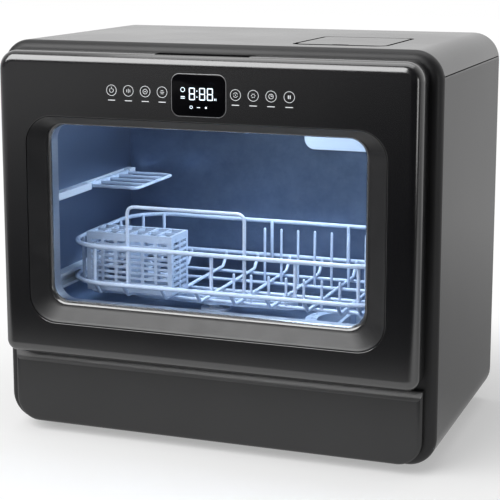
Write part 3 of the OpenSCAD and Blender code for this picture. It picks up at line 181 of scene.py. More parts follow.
# Painted shade and blue lamp light: the tub's brushed steel is coloured dark and blue
M["tub"] = brushed("tub_steel_painted_blue_shade", (0.17, 0.22, 0.31), (0.23, 0.29, 0.39), (0.34, 0.42), (1, 40, 1))
M["steel"] = brushed("liner_steel", (0.46, 0.48, 0.51), (0.54, 0.56, 0.59), (0.34, 0.42), (1, 1, 12))
M["bare"] = brushed("bare_steel", (0.45, 0.45, 0.46), (0.60, 0.60, 0.61), (0.22, 0.35), (30, 30, 1))
M["rubber"] = moulded("rubber_black", (0.012, 0.012, 0.012), (0.022, 0.022, 0.022), (0.6, 0.75), 0.3)
M["seal"] = moulded("rubber_grey", (0.10, 0.10, 0.11), (0.14, 0.14, 0.15), (0.55, 0.7), 0.3)
M["board"] = moulded("board_green", (0.01, 0.09, 0.04), (0.02, 0.14, 0.06), (0.3, 0.45), 0.1, 300)
M["lens"] = painted("lens_gloss", (0.001, 0.001, 0.0015), (0.002, 0.002, 0.0025), (0.05, 0.08))
M["lens"].put(Specular_IOR_Level=0.25)


def lit(name, color, strength, base=(0.8, 0.9, 1.0)):
    """A glowing surface, a little uneven."""
    w = Mat(name, base, 0.35)
    n = w.noise(25)
    w.tint(n, tuple(0.9 * c for c in base), base)
    w.roughen(n, 0.3, 0.4)
    return w.put(Emission_Color=(*color, 1), Emission_Strength=strength)


M["lamp"] = lit("lamp_glow", (0.52, 0.68, 0.90), 0.72, (0.2, 0.22, 0.25))
M["digit"] = lit("digit_glow", (0.75, 0.9, 1.0), 1.0)
# The touch symbols are print with a faint glow added: painted light that brightens the print
M["icon"] = lit("icon_print_painted_glow", (0.8, 0.82, 0.85), 0.30, (0.60, 0.61, 0.63))


def window_glass():
    """Clear glass that lets the lamps' light pass without bending it."""
    w = Mat("window_glass", (0.93, 0.96, 1.0), 0.02)
    w.put(Transmission_Weight=1.0, IOR=1.45)
    w.roughen(w.noise(12), 0.0, 0.012)
    clear = w.t.nodes.new("ShaderNodeBsdfTransparent")
    clear.inputs["Color"].default_value = (0.92, 0.95, 1.0, 1)
    path = w.t.nodes.new("ShaderNodeLightPath")
    mix = w.t.nodes.new("ShaderNodeMixShader")
    out = w.t.nodes["Material Output"]
    w.t.links.new(path.outputs["Is Shadow Ray"], mix.inputs["Fac"])
    w.t.links.new(w.b.outputs["BSDF"], mix.inputs[1])
    w.t.links.new(clear.outputs["BSDF"], mix.inputs[2])
    w.t.links.new(mix.outputs["Shader"], out.inputs["Surface"])
    return w


M["glass"] = window_glass()

LOOK = {
    "cabinet": "side_panel_left side_panel_right rear_panel",
    "grey": "base_tray sump wash_pump wash_duct drain_pump drain_duct fan_housing fill_tray",
    "black_in": "cord_gland drain_spout",
    "white": "display_module latch_tongue dispenser_body door_lock lamp_board rack_rails shelf_rail "
             "spray_hub wash_impeller drain_impeller fan_impeller float_cup inlet_valve",
    "pale": "dispenser_lid spray_arm sump_filter rack_glides cutlery_basket basket_grid",
    "tank": "water_tank",
    "tub": "tub",
    "steel": "door_liner fill_filter",
    "bare": "heater rear_screws hinge_pins hinge_bracket_left hinge_bracket_right inlet_connector",
    "rubber": "feet",
    "seal": "tub_gasket",
    "board": "control_board main_board",
    "lamp": "lamp_lens",
    "glass": "door_glass",
}
for look, names in LOOK.items():
    for name in names.split():
        slots = NODES[name].data.materials
        if len(slots) == 0:
            slots.append(None)
        for i in range(len(slots)):
            slots[i] = M[look].m


# ---------- mesh helpers (millimetres in, metres out) ----------
def to_scene(name, data):
    obj = bpy.data.objects.new(name, data)
    bpy.context.scene.collection.objects.link(obj)
    return obj


def face_out(mesh):
    """Turns every face outward."""
    shape = bmesh.new()
    shape.from_mesh(mesh)
    bmesh.ops.recalc_face_normals(shape, faces=shape.faces)
    shape.to_mesh(mesh)
    shape.free()


def piece(name, verts, faces, look, body, slot, replaces=(), smooth=30):
    """A visible piece that rides on a body; edges sharper than smooth degrees stay sharp."""
    mesh = bpy.data.meshes.new(name)
    mesh.from_pydata([tuple(c * MM for c in v) for v in verts], [], faces)
    mesh.validate()
    face_out(mesh)
    mesh.materials.append(M[look].m)
    obj = to_scene(name, mesh)
    mesh.shade_smooth()
    mesh.set_sharp_from_angle(angle=math.radians(smooth))
    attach(obj, body)
    if replaces:
        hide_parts(*replaces)
    return obj


def cut(obj, *cutters):
    """Takes solids out of a piece, and keeps the result as its mesh."""
    for verts, faces in cutters:
        mesh = bpy.data.meshes.new("cutter")
        mesh.from_pydata([tuple(c * MM for c in v) for v in verts], [], faces)
        face_out(mesh)
        tool = to_scene("cutter", mesh)
        mod = obj.modifiers.new("cut", "BOOLEAN")
        mod.operation = "DIFFERENCE"
        mod.solver = "EXACT"
        mod.object = tool
        bpy.context.view_layer.update()
        done = bpy.data.meshes.new_from_object(obj.evaluated_get(bpy.context.evaluated_depsgraph_get()))
        obj.modifiers.remove(mod)
        obj.data = done
        bpy.data.objects.remove(tool)
    obj.data.shade_smooth()
    obj.data.set_sharp_from_angle(angle=math.radians(30))


def angles(a0, a1, n):
    """n + 1 angles from a0 to a1, which are in degrees, in radians."""
    return [math.radians(a0 + (a1 - a0) * i / n) for i in range(n + 1)]


def circle(x, z, r, n):
    return [(x + r * math.cos(2 * math.pi * i / n), z + r * math.sin(2 * math.pi * i / n)) for i in range(n)]


def outline(x0, z0, x1, z1, r, n=12, low=None):
    """Rounded rectangle, anticlockwise from the lower right corner; low is the lower corners' radius."""
    r = max(r, 0.01)
    q = r if low is None else max(low, 0.01)
    pts = []
    for cx, cz, k, a0 in ((x1 - q, z0 + q, q, -90), (x1 - r, z1 - r, r, 0),
                          (x0 + r, z1 - r, r, 90), (x0 + q, z0 + q, q, 180)):
        pts += [(cx + k * math.cos(a), cz + k * math.sin(a)) for a in angles(a0, a0 + 90, n)]
    return pts


def ring(pts, y):
    """Points in X and Z, at one depth."""
    return [(x, y, z) for x, z in pts]


def level(pts, z):
    """Points in X and Y, at one height."""
    return [(x, y, z) for x, y in pts]


def skin(loops, first=False, last=False, wrap=False):
    """Joins loops of equal length; may close the first, the last, or run round to the start."""
    n = len(loops[0])
    verts = [v for loop in loops for v in loop]
    faces = []
    pairs = list(zip(range(len(loops) - 1), range(1, len(loops))))
    if wrap:
        pairs.append((len(loops) - 1, 0))
    for a, b in pairs:
        for i in range(n):
            j = (i + 1) % n
            faces.append((a * n + i, b * n + i, b * n + j, a * n + j))
    if first:
        faces.append(tuple(range(n)))
    if last:
        faces.append(tuple(reversed(range((len(loops) - 1) * n, len(loops) * n))))
    return verts, faces


def join(*parts):
    verts, faces = [], []
    for v, f in parts:
        k = len(verts)
        verts += v
        faces += [tuple(i + k for i in face) for face in f]
    return verts, faces


def prism_x(yz, x0, x1):
    return skin([[(x, y, z) for y, z in yz] for x in (x0, x1)], True, True)


def prism_y(xz, y0, y1):
    return skin([ring(xz, y0), ring(xz, y1)], True, True)


def prism_z(xy, z0, z1):
    return skin([level(xy, z0), level(xy, z1)], True, True)


def block(x0, x1, y0, y1, z0, z1):
    return prism_x([(y0, z0), (y1, z0), (y1, z1), (y0, z1)], x0, x1)


def tube(points, r, closed=False, sides=10):
    """Round wire along points, with rounded ends."""
    pts = [Vector(p) for p in points]
    n = len(pts)
    tangents = []
    for i in range(n):
        a = pts[(i - 1) % n] if closed or i else pts[i]
        b = pts[(i + 1) % n] if closed or i < n - 1 else pts[i]
        tangents.append((b - a).normalized())
    up = Vector((0, 0, 1)) if abs(tangents[0].z) < 0.9 else Vector((1, 0, 0))
    side = tangents[0].cross(up).normalized()
    loops = []
    for p, t in zip(pts, tangents):
        side = (side - t * side.dot(t)).normalized()
        up = side.cross(t)
        loops.append([tuple(p + (side * math.cos(a) + up * math.sin(a)) * r)
                      for a in [2 * math.pi * k / sides for k in range(sides)]])
    if closed:
        return skin(loops, wrap=True)
    for end, t in ((0, -tangents[0]), (-1, tangents[-1])):
        c = pts[end]
        cap = [[tuple(c + (Vector(v) - c) * s + t * r * h) for v in loops[end]]
               for s, h in ((0.8, 0.55), (0.35, 0.9))]
        loops = list(reversed(cap)) + loops if end == 0 else loops + cap
    return skin(loops, True, True)


def arc(p0, p1, p2, r, n=5):
    """Rounds the corner p1 between p0 and p2 with radius r."""
    a, b, c = Vector(p0), Vector(p1), Vector(p2)
    u, v = (a - b).normalized(), (c - b).normalized()
    half = u.angle(v) / 2
    if math.pi / 2 - half < 0.01:
        return [tuple(b)]
    d = min(r / math.tan(half), (a - b).length * 0.49, (c - b).length * 0.49)
    s, e = b + u * d, b + v * d
    out = []
    for i in range(n + 1):
        t = i / n
        out.append(tuple(s * (1 - t) ** 2 + b * 2 * t * (1 - t) + e * t ** 2))
    return out


def bent(points, r, bend):
    """Wire of radius r, with its corners rounded by bend."""
    out = [points[0]]
    for before, p, after in zip(points, points[1:], points[2:]):
        out += arc(before, p, after, bend)
    return tube(out + [points[-1]], r)


# ---------- door ----------
FACE_Y = Y_DOOR + 0.15   # the visible face stands just behind the solids' face
TURN = 10                # steps round the door's and the rim's front edge
HINGES = [(s * HINGE_X - NOTCH_HW, s * HINGE_X + NOTCH_HW) for s in (-1, 1)]


def rim_of(d, y):
    """The door's outline, drawn in by d."""
    return ring(outline(-DOOR_HW + d, DOOR_Z0 + d, DOOR_HW - d, DOOR_Z1 - d, DOOR_R - d,
                        low=DOOR_LOW_R - d), y)


def window_edge(d, y):
    """The outer edge of the window's surround, drawn in by d."""
    return ring(outline(-BZ_HW + d, BZ_Z0 + d, BZ_HW - d, BZ_Z1 - d, BZ_R - d), y)


loops = [rim_of(2.5, Y_LINER - 12), rim_of(2.5, Y_LINER - 0.4), rim_of(2.1, Y_LINER), rim_of(0.4, Y_LINER),
         rim_of(0, Y_LINER - 0.4)]
for a in angles(0, 90, TURN):
    loops.append(rim_of(DOOR_F * (1 - math.cos(a)), FACE_Y + DOOR_F * (1 - math.sin(a))))
# The loops close to an edge hold the flat face's shading flat
loops += [rim_of(DOOR_F + 1.0, FACE_Y), window_edge(-1.4, FACE_Y), window_edge(-0.5, FACE_Y),
          window_edge(-0.2, FACE_Y + 0.2), window_edge(-0.1, FACE_Y + 0.6),
          window_edge(-0.1, Y_DOOR + 3), window_edge(-2.5, Y_DOOR + 3.2), rim_of(3.4, Y_LINER - 12)]
door = piece("door_body", *skin(loops, wrap=True), "door", "door", "black_plastic", ["door_shell"])

# Cut away: what would sweep through the cabinet's front, the hinges' slots, the finger pull, the display
swing = [(HINGE_Y + 9, DOOR_Z0 - 2)]
swing += [(HINGE_Y + SWEEP_R * math.sin(a), HINGE_Z - SWEEP_R * math.cos(a)) for a in angles(30, 90, 10)]
swing += [(Y_RIM + 3, HINGE_Z), (Y_RIM + 3, DOOR_Z0 - 2)]
notch = [block(x0, x1, HINGE_Y - KNUCKLE_R, Y_RIM + 2, DOOR_Z0 - 2, HINGE_Z + KNUCKLE_R) for x0, x1 in HINGES]
pull = [(PULL_HW - PULL_TAPER, PULL_Y0), (PULL_HW, PULL_Y1),
        (-PULL_HW, PULL_Y1), (-PULL_HW + PULL_TAPER, PULL_Y0)]
pull_cut = prism_z(pull, DOOR_Z1 - PULL_DEPTH, DOOR_Z1 + 2)
display_cut = prism_y(outline(-DISPLAY_HW, DISPLAY_Z - DISPLAY_HH, DISPLAY_HW, DISPLAY_Z + DISPLAY_HH,
                              DISPLAY_R), Y_DOOR - 1, Y_DOOR + 1.2)
cut(door, prism_x(swing, -HX + 1, HX - 1), *notch, pull_cut, display_cut)

pocket = skin([level(pull, DOOR_Z1 - 1.2), level(pull, DOOR_Z1 - PULL_DEPTH)], last=True)
piece("pull_pocket", *pocket, "black_in", "door", "black_plastic", smooth=20)

# The sloping surround of the window: a small step at its outer edge, the slope, and a glossier bead that
# turns in to the glass. Its profile is given by how far in each point is, from 0 to 1, and its depth.
STEP_T, STEP_Y = 0.06, 0.8
BEAD_T, BEAD_H, BEAD_TURN = 0.80, 4.6, 62
SLOPE_N, BEAD_N = 8, 8
BZ_GAP = 0.3


def slope(t, y):
    """A loop of the surround, a share t of the way from its outer edge to the glass."""
    def mix(a, b):
        return a + (b - a) * t

    return ring(outline(-mix(BZ_HW - BZ_GAP, GL_HW), mix(BZ_Z0 + BZ_GAP, GL_Z0), mix(BZ_HW - BZ_GAP, GL_HW),
                        mix(BZ_Z1 - BZ_GAP, GL_Z1), mix(BZ_R - BZ_GAP, GL_R)), y)


profile = [(0, Y_GLASS), (0, FACE_Y + 0.9), (0.01, FACE_Y + 0.45), (0.03, FACE_Y + 0.45),
           (STEP_T, FACE_Y + STEP_Y)]
for i in range(1, SLOPE_N + 1):
    share = i / SLOPE_N
    profile.append((STEP_T + (BEAD_T - STEP_T) * share,
                    FACE_Y + STEP_Y + (Y_GLASS - BEAD_H - FACE_Y - STEP_Y) * share))
whole = math.radians(BEAD_TURN)
for a in angles(0, BEAD_TURN, BEAD_N)[1:]:
    profile.append((BEAD_T + (1 - BEAD_T) * math.sin(a) / math.sin(whole),
                    Y_GLASS - BEAD_H + BEAD_H * (1 - math.cos(a)) / (1 - math.cos(whole))))
surround = piece("window_surround", *skin([slope(t, y) for t, y in profile], wrap=True), "surround", "door",
                 "grey_plastic", ["window_frame"])
surround.data.materials.append(M["bead"].m)
for face in surround.data.polygons:
    face.material_index = 1 if face.center.y > (Y_GLASS - BEAD_H) * MM and abs(face.normal.y) > 0.05 else 0

# ---------- display and touch symbols ----------
LENS_GAP, LENS_EDGE = 0.2, 0.75
INK_Y, INK_T = Y_DOOR + 0.07, 0.1


def lens_edge(d, y):
    """The display lens's outline, drawn in by d."""
    return ring(outline(-DISPLAY_HW + LENS_GAP + d, DISPLAY_Z - DISPLAY_HH + LENS_GAP + d,
                        DISPLAY_HW - LENS_GAP - d, DISPLAY_Z + DISPLAY_HH - LENS_GAP - d, DISPLAY_R - d), y)


lens_loops = [lens_edge(0, Y_DOOR + 1.15), lens_edge(0, FACE_Y + 0.25), lens_edge(LENS_EDGE, FACE_Y - 0.02)]
lens = piece("display_glass", *skin(lens_loops, True, True), "lens", "door", "lens_plastic", ["display_lens"])
lens.data.materials.append(M["lens_edge"].m)
for face in lens.data.polygons:
    face.material_index = 1 if -0.99 < face.normal.y < -0.1 else 0


def ink(pts):
    """A flat printed shape."""
    return prism_y(pts, INK_Y, INK_Y + INK_T)


def dot(x, z, r):
    return ink(circle(x, z, r, 20))


def bar(x, z, w, h):
    return ink(outline(x - w / 2, z - h / 2, x + w / 2, z + h / 2, min(w, h) * 0.4, 3))


def hoop(x, z, r, t=0.45, a0=0, a1=360):
    """A circle or an arc of thickness t."""
    full = a1 - a0 == 360
    turn = angles(a0, a1, 28)
    loops = [[(x + q * math.cos(a), y, z + q * math.sin(a)) for q, y in
              ((r - t, INK_Y), (r, INK_Y), (r, INK_Y + INK_T), (r - t, INK_Y + INK_T))]
             for a in (turn[:-1] if full else turn)]
    return skin(loops, not full, not full, wrap=full)


def stroke(x, z, w, h):
    """One bar of a digit, pointed at both ends."""
    if w > h:
        k = h / 2
        return ink([(x - w / 2, z), (x - w / 2 + k, z - k), (x + w / 2 - k, z - k), (x + w / 2, z),
                    (x + w / 2 - k, z + k), (x - w / 2 + k, z + k)])
    k = w / 2
    return ink([(x, z - h / 2), (x + k, z - h / 2 + k), (x + k, z + h / 2 - k), (x, z + h / 2),
                (x - k, z + h / 2 - k), (x - k, z - h / 2 + k)])


def digit(x, z, w, h, t=1.0):
    """A figure eight of seven strokes."""
    parts = [stroke(x, z + dz, w - t, t) for dz in (-h / 2 + t / 2, 0, h / 2 - t / 2)]
    for dx in (-w / 2 + t / 2, w / 2 - t / 2):
        for dz in (-h / 4, h / 4):
            parts.append(stroke(x + dx, z + dz, t, h / 2 - t * 0.5))
    return join(*parts)


DIGIT_X, DIGIT_Z, DIGIT_W, DIGIT_H = (-7.0, 4.0, 12.4), 383.0, 6.4, 12.5
COLON_X, UNIT_X, SIDE_X, BOTTOM_Z = -1.6, (17.4, 18.9), -17.0, 369.5
shown = [digit(x, DIGIT_Z, DIGIT_W, DIGIT_H) for x in DIGIT_X]
shown += [dot(COLON_X, DIGIT_Z + dz, 0.55) for dz in (3, -3)]
shown += [bar(x, 378, 0.6, 2.2) for x in UNIT_X]
shown += [hoop(SIDE_X, 387, 2.4, 0.5), bar(SIDE_X, 380, 4.6, 0.6), bar(SIDE_X, 378.4, 4.6, 0.6)]
shown += [hoop(-8, BOTTOM_Z, 1.6), bar(0, BOTTOM_Z, 3.6, 0.6), dot(8, BOTTOM_Z, 1.0)]
piece("display_digits", *join(*shown), "digit", "door", "lamp_plastic", smooth=20)

KEYS = ("power", "bars", "target", "lines", "halves", "dots", "clock", "pause")
KEY_X, KEY_Z, KEY_R, KEY_BAR_Z = (39.6, 58.3, 77.0, 95.9), 383.5, 5.7, 373.4


def glyph(kind, x, z):
    """Own, generic touch symbols inside a circle."""
    parts = [hoop(x, z, KEY_R)]
    if kind == "power":
        parts += [hoop(x, z, 2.4, a0=-235, a1=55), bar(x, z + 2.4, 0.5, 2.4)]
    elif kind == "bars":
        parts += [bar(x + d, z, 0.5, 4.4 - abs(d) * 0.8) for d in (-1.8, 0, 1.8)]
    elif kind == "target":
        parts += [hoop(x, z, 2.6), dot(x, z, 0.6)]
    elif kind == "lines":
        parts += [bar(x, z + d, 4.6 - abs(d), 0.5) for d in (-1.6, 0, 1.6)]
    elif kind == "halves":
        parts += [hoop(x, z, 2.5, a0=20, a1=160), hoop(x, z, 2.5, a0=200, a1=340), dot(x, z, 0.5)]
    elif kind == "dots":
        parts += [dot(px, pz, 0.5) for px, pz in circle(x, z, 1.8, 6)]
    elif kind == "clock":
        parts += [hoop(x, z, 2.6), bar(x, z + 0.9, 0.5, 1.9), bar(x + 0.8, z, 1.7, 0.5)]
    else:
        parts += [bar(x + d, z, 0.9, 3.6) for d in (-0.9, 0.9)]
    return join(*parts)


keys = []
for k, x in enumerate(KEY_X):
    for s, kind in ((-1, KEYS[3 - k]), (1, KEYS[4 + k])):
        keys += [glyph(kind, s * x, KEY_Z), bar(s * x, KEY_BAR_Z, 8.0, 0.8)]
piece("touch_symbols", *join(*keys), "icon", "door", "white_plastic", smooth=20)


# ---------- cabinet front ----------
def cab(d, y):
    """The cabinet's outline, drawn in by d."""
    return ring(outline(-HX + d, FOOT_H + d, HX - d, CAB_H - d, CORNER_R - d, 16), y)


def mouth(d, y):
    """The opening's outline, drawn in by d."""
    return ring(outline(-TUB_HW - MOUTH_OUT + d, TUB_Z0 - MOUTH_OUT + d, TUB_HW + MOUTH_OUT - d,
                        TUB_Z1 + MOUTH_OUT - d, MOUTH_R - d, 16), y)


loops = [mouth(0, Y_SHELL), cab(2.5, Y_SHELL)]
for a in angles(0, 90, TURN):
    loops.append(cab(EDGE_R * (1 - math.cos(a)), Y_RIM + EDGE_R * (1 - math.sin(a))))
loops += [cab(EDGE_R + 0.6, Y_RIM), mouth(-1.6, Y_RIM), mouth(-1.0, Y_RIM), mouth(-0.3, Y_RIM + 0.3),
          mouth(0, Y_RIM + 1.0)]
front = piece("front_rim", *skin(loops, wrap=True), "rim", "cabinet", "black_plastic", ["front_frame"])
holes = [block(x0, x1, Y_RIM - 2, Y_SHELL + 2, HINGE_Z - 8, HINGE_Z + 8) for x0, x1 in HINGES]
holes.append(block(LATCH_X - LATCH_HW, LATCH_X + LATCH_HW, Y_RIM - 2, Y_SHELL + 2, LATCH_Z0, LATCH_Z1))
cut(front, *holes)


# ---------- lower panel: a flat front with a sloping strip along its upper edge ----------
def panel_edge(d, y, top):
    """The panel's outline up to a height: its sides and bottom are drawn in by d."""
    x0, x1, z0 = -DOOR_HW + d, DOOR_HW - d, FOOT_H + PANEL_LIFT + d
    q = max(PANEL_R - d, 1)
    pts = []
    for cx, a0 in ((x0 + q, 180), (x1 - q, 270)):
        pts += [(cx + q * math.cos(a), z0 + q + q * math.sin(a)) for a in angles(a0, a0 + 90, 14)]
    return ring(pts + [(x1, top), (x0, top)], y)


STRIP_Z = PANEL_Z1 - PANEL_SLOPE
loops = [panel_edge(2.5, Y_RIM, PANEL_Z1 - 2.5), panel_edge(0, Y_RIM, PANEL_Z1)]
for d, back, top in ((0, 3.6, PANEL_Z1), (0, PANEL_LEAN, PANEL_Z1 - 0.6), (1.2, 1.3, STRIP_Z + 3.4),
                     (2.4, 0.5, STRIP_Z + 0.8), (3.6, 0.15, STRIP_Z - 0.2), (5.0, 0.0, STRIP_Z - 1.0),
                     (6.0, 0.0, STRIP_Z - 2.0)):
    loops.append(panel_edge(d, PANEL_Y + back, top))
panel = piece("apron", *skin(loops, False, True), "panel", "cabinet", "painted_sheet", ["lower_panel"],
              smooth=35)
# The sloping strip takes the lighter paint, a painted highlight along it
panel.data.materials.append(M["ledge"].m)
for face in panel.data.polygons:
    face.material_index = 1 if 0.1 < face.normal.z < 0.9 and face.center.z > STRIP_Z * MM - 0.001 else 0

# ---------- top skin and filling lid ----------
FLARE_SIDE, FLARE_FRONT, OPENING_R = 1.2, 5.0, 5.0
LID_DOWN, LID_ROLL = 3.0, 4.0
BARREL_IN, BARREL_R, PIN_R, PIN_OUT = 2.5, 2.4, 1.45, 4.3
FINGER_X0, FINGER_X1, FINGER_Y0, FINGER_Y1, FINGER_DEPTH = 114.0, 132.0, 4.5, 8.5, 0.8


def plan(dx, dy, z, back, rear=LID_R - 1):
    """The lid's outline, let out by dx and dy; back is its rear edge, rear its rear corners' radius."""
    pts = outline(LID_X0 - dx, LID_Y0 - dy, LID_X1 + dx, back, rear + min(dx, dy), 8, LID_R + min(dx, dy))
    return level(reversed(pts), z)


def opening(out, z):
    """The opening round the lid, with a share of its flare."""
    return plan(LID_GAP + FLARE_SIDE * out, LID_GAP + FLARE_FRONT * out, z,
                LID_Y1 + LID_GAP + FLARE_SIDE * out, OPENING_R)


def arch(y):
    """The top skin's section: over one rounded corner, along the top, over the other, and back inside."""
    out, inner = [], []
    for cx, a0 in ((HX - CORNER_R, 0), (-HX + CORNER_R, 90)):
        for a in angles(a0, a0 + 90, 16):
            for pts, r in ((out, CORNER_R), (inner, CORNER_R - SHEET)):
                pts.append((cx + r * math.cos(a), y, max(CAB_H - CORNER_R + r * math.sin(a), SEAM_Z + 0.8)))
    return out + list(reversed(inner))


def dark_edge(obj):
    """Gives the rounded edges round the lid a dull black that reflects nothing: painted shade for the dark
    line round the lid.
    """
    obj.data.materials.append(M["lip"].m)
    for face in obj.data.polygons:
        x, y, z = face.center
        near = LID_X0 - 5 < x / MM < LID_X1 + 5 and LID_Y0 - 8 < y / MM < LID_Y1 + 8
        face.material_index = 1 if near and face.normal.z < 0.9999 else 0
    sides = {}
    for face in obj.data.polygons:
        for key in face.edge_keys:
            sides.setdefault(key, set()).add(face.material_index)
    for edge in obj.data.edges:
        if len(sides[edge.key]) > 1:
            edge.use_edge_sharp = True


rounding = [(1 - math.cos(a), CAB_H - 1.0 + math.sin(a)) for a in angles(0, 90, 6)]
top = piece("top_skin", *skin([arch(Y_SHELL), arch(Y_REAR)], True, True), "cabinet", "cabinet",
            "painted_sheet", ["top_cover"])
hole = [opening(0, CAB_H - 6)] + [opening(out, z) for out, z in rounding] + [opening(1, CAB_H + 1)]
cut(top, skin(hole, True, True))
dark_edge(top)

lid_loops = [plan(-3, -3, CAB_H - LID_DOWN, LID_Y1 - 3), plan(0, 0, CAB_H - LID_DOWN, LID_Y1)]
lid_loops += [plan(-out, -LID_ROLL * out, z, LID_Y1 - out) for out, z in rounding]
lid = piece("filling_lid", *skin(lid_loops, True, True), "cabinet", "lid", "painted_sheet", ["fill_lid"])
axis = (LID_Y1 - BARREL_IN, CAB_H - BARREL_IN)
barrel = prism_x(circle(*axis, BARREL_R, 16), LID_X0 + 4, LID_X1 - 4)
pin = prism_x(circle(*axis, PIN_R, 12), LID_X0 - PIN_OUT, LID_X1 + PIN_OUT)
piece("lid_hinge", *join(barrel, pin), "cabinet", "lid", "painted_sheet")
finger = list(reversed(outline(FINGER_X0, LID_Y0 + FINGER_Y0, FINGER_X1, LID_Y0 + FINGER_Y1, 1.9, 4)))
cut(lid, prism_z(finger, CAB_H - FINGER_DEPTH, CAB_H + 1))
dark_edge(lid)

# ---------- rack ----------
RIM_R = RIM_T / 2
WIRE_R = WIRE / 2 - 0.05               # a hair thinner than the solids, so that it stays inside them
WIRE_IN = RIM_T + 0.05 + WIRE / 2      # from the rims' outside to the upright wires' middle
FOOT = FLOOR_IN - WIRE
TINE_R = 1.55


def corner_in(over):
    """How far the rims' rounded corner comes in, where it has run on by over."""
    r = RACK_R - RIM_T
    return 0.0 if over <= 0 else r - math.sqrt(r * r - over * over)


def trough(a, b, floor, tip):
    """A wire's way down one side, along the floor and up the other: how far across, and how high."""
    return [(a, tip), (a, floor + FOOT), (a + FOOT, floor), (b - FOOT, floor), (b, floor + FOOT), (b, tip)]


rim = outline(-RACK_HW + RIM_R, RACK_Y0 + RIM_R, RACK_HW - RIM_R, RACK_Y1 - RIM_R, RACK_R - RIM_R, 9)
parts = [tube(level(rim, z + RIM_R), RIM_R, True, 12) for z in (RIM_LOW, RIM_HIGH)]
piece("rack_rim_wires", *join(*parts), "wire", "rack", "coated_wire", ["rack_rims"], smooth=60)

parts = []
for x in LONG_X:
    d = WIRE_IN + corner_in(abs(x) + WIRE / 2 - (RACK_HW - RACK_R))
    tip = (RIM_HIGH if abs(x) == LONG_X[-1] else RIM_LOW) + RIM_T / 2
    way = trough(RACK_Y0 + d, RACK_Y1 - d, RACK_Z0 + WIRE / 2, tip)
    parts.append(bent([(x, y, z) for y, z in way], WIRE_R, 5))
tip = RIM_HIGH + RIM_T / 2 - 1
for x in POST_X:
    for y in (RACK_Y0 + WIRE_IN, RACK_Y1 - WIRE_IN):
        parts.append(tube([(x, y, RIM_LOW), (x, y, RIM_LOW + 20), (x, y, tip)], WIRE_R))
middle = (RACK_Y0 + RACK_Y1) / 2
for y in CROSS_Y:
    d = WIRE_IN + corner_in(abs(y - middle) + WIRE / 2 - ((RACK_Y1 - RACK_Y0) / 2 - RACK_R))
    way = trough(-RACK_HW + d, RACK_HW - d, RACK_Z0 - 0.05 - WIRE / 2, tip)
    parts.append(bent([(x, y, z) for x, z in way], WIRE_R, 5))
piece("rack_floor_wires", *join(*parts), "wire", "rack", "coated_wire", ["rack_wires"], smooth=60)

y = RACK_Y0 + RIM_T + 0.1 + WIRE / 2
way = [(LOOP_X0 + 2, RIM_LOW), (LOOP_X0 + 2, LOOP_Z - 2), (LOOP_X1 - 2, LOOP_Z - 2), (LOOP_X1 - 2, RIM_LOW)]
piece("rack_front_loop", *bent(ring(way, y), WIRE_R, 9), "wire", "rack", "coated_wire", ["rack_loop"],
      smooth=60)

parts = []
for i in range(TINE_N):
    for y, tall in ((CROSS_Y[0], TINE_LOW), (CROSS_Y[2], TINE_TALL)):
        x = TINE_PITCH * i
        parts.append(tube([(x, y, RACK_Z0 + 0.6), (x, y, RACK_Z0 + tall / 2), (x, y, RACK_Z0 + tall - 1.2)],
                          TINE_R, sides=8))
piece("rack_tine_wires", *join(*parts), "wire", "rack", "coated_wire", ["rack_tines"], smooth=60)

# ---------- cup shelf: its pin, the sleeve round it, the frame and the bars between ----------
SHELF_PIN_R, SHELF_SLEEVE_R = 1.9, 3.4
x1 = SHELF_X + SHELF_W - WIRE / 2
y0, y1 = SHELF_Y0 + 2, SHELF_Y1 - 2
parts = [tube([(SHELF_X, SHELF_Y0 - 5, SHELF_Z), (SHELF_X, SHELF_Y1 + 5, SHELF_Z)], SHELF_PIN_R),
         tube([(SHELF_X, SHELF_Y0 + 1.5, SHELF_Z), (SHELF_X, SHELF_Y1 - 1.5, SHELF_Z)], SHELF_SLEEVE_R,
              sides=14),
         bent(level([(SHELF_X, y0), (x1, y0), (x1, y1), (SHELF_X, y1)], SHELF_Z), WIRE_R, 7)]
for i in range(1, SHELF_BARS + 1):
    y = SHELF_Y0 + 2 + i * (SHELF_Y1 - SHELF_Y0 - 4) / (SHELF_BARS + 1)
    parts.append(tube([(SHELF_X, y, SHELF_Z), (x1, y, SHELF_Z)], WIRE_R))
piece("cup_shelf_wires", *join(*parts), "wire", "shelf", "coated_wire", ["cup_shelf"], smooth=60)


# ---------- floor, light and camera ----------
def light_by_ray(tree, lit_socket, camera_socket, glossy_socket):
    """Shows one shader to light, one to the camera and one to reflections."""
    paths = tree.nodes.new("ShaderNodeLightPath")
    glossy = tree.nodes.new("ShaderNodeMixShader")
    seen = tree.nodes.new("ShaderNodeMixShader")
    tree.links.new(paths.outputs["Is Glossy Ray"], glossy.inputs["Fac"])
    tree.links.new(lit_socket, glossy.inputs[1])
    tree.links.new(glossy_socket, glossy.inputs[2])
    tree.links.new(paths.outputs["Is Camera Ray"], seen.inputs["Fac"])
    tree.links.new(glossy.outputs["Shader"], seen.inputs[1])
    tree.links.new(camera_socket, seen.inputs[2])
    return seen.outputs["Shader"]


def ramp(tree, value, lo, hi, a, b):
    """Turns a value from a to b into a smooth step from lo to hi."""
    r = tree.nodes.new("ShaderNodeMapRange")
    r.interpolation_type = "SMOOTHSTEP"
    for key, number in (("From Min", a), ("From Max", b), ("To Min", lo), ("To Max", hi)):
        r.inputs[key].default_value = number
    tree.links.new(value, r.inputs["Value"])
    return r.outputs["Result"]


def glow(tree, kind, strength):
    """A white emission or background shader; strength is a number or a socket."""
    n = tree.nodes.new(kind)
    n.inputs["Color"].default_value = (1, 1, 1, 1)
    if isinstance(strength, (int, float)):
        n.inputs["Strength"].default_value = strength
    else:
        tree.links.new(strength, n.inputs["Strength"])
    return n.outputs[0]


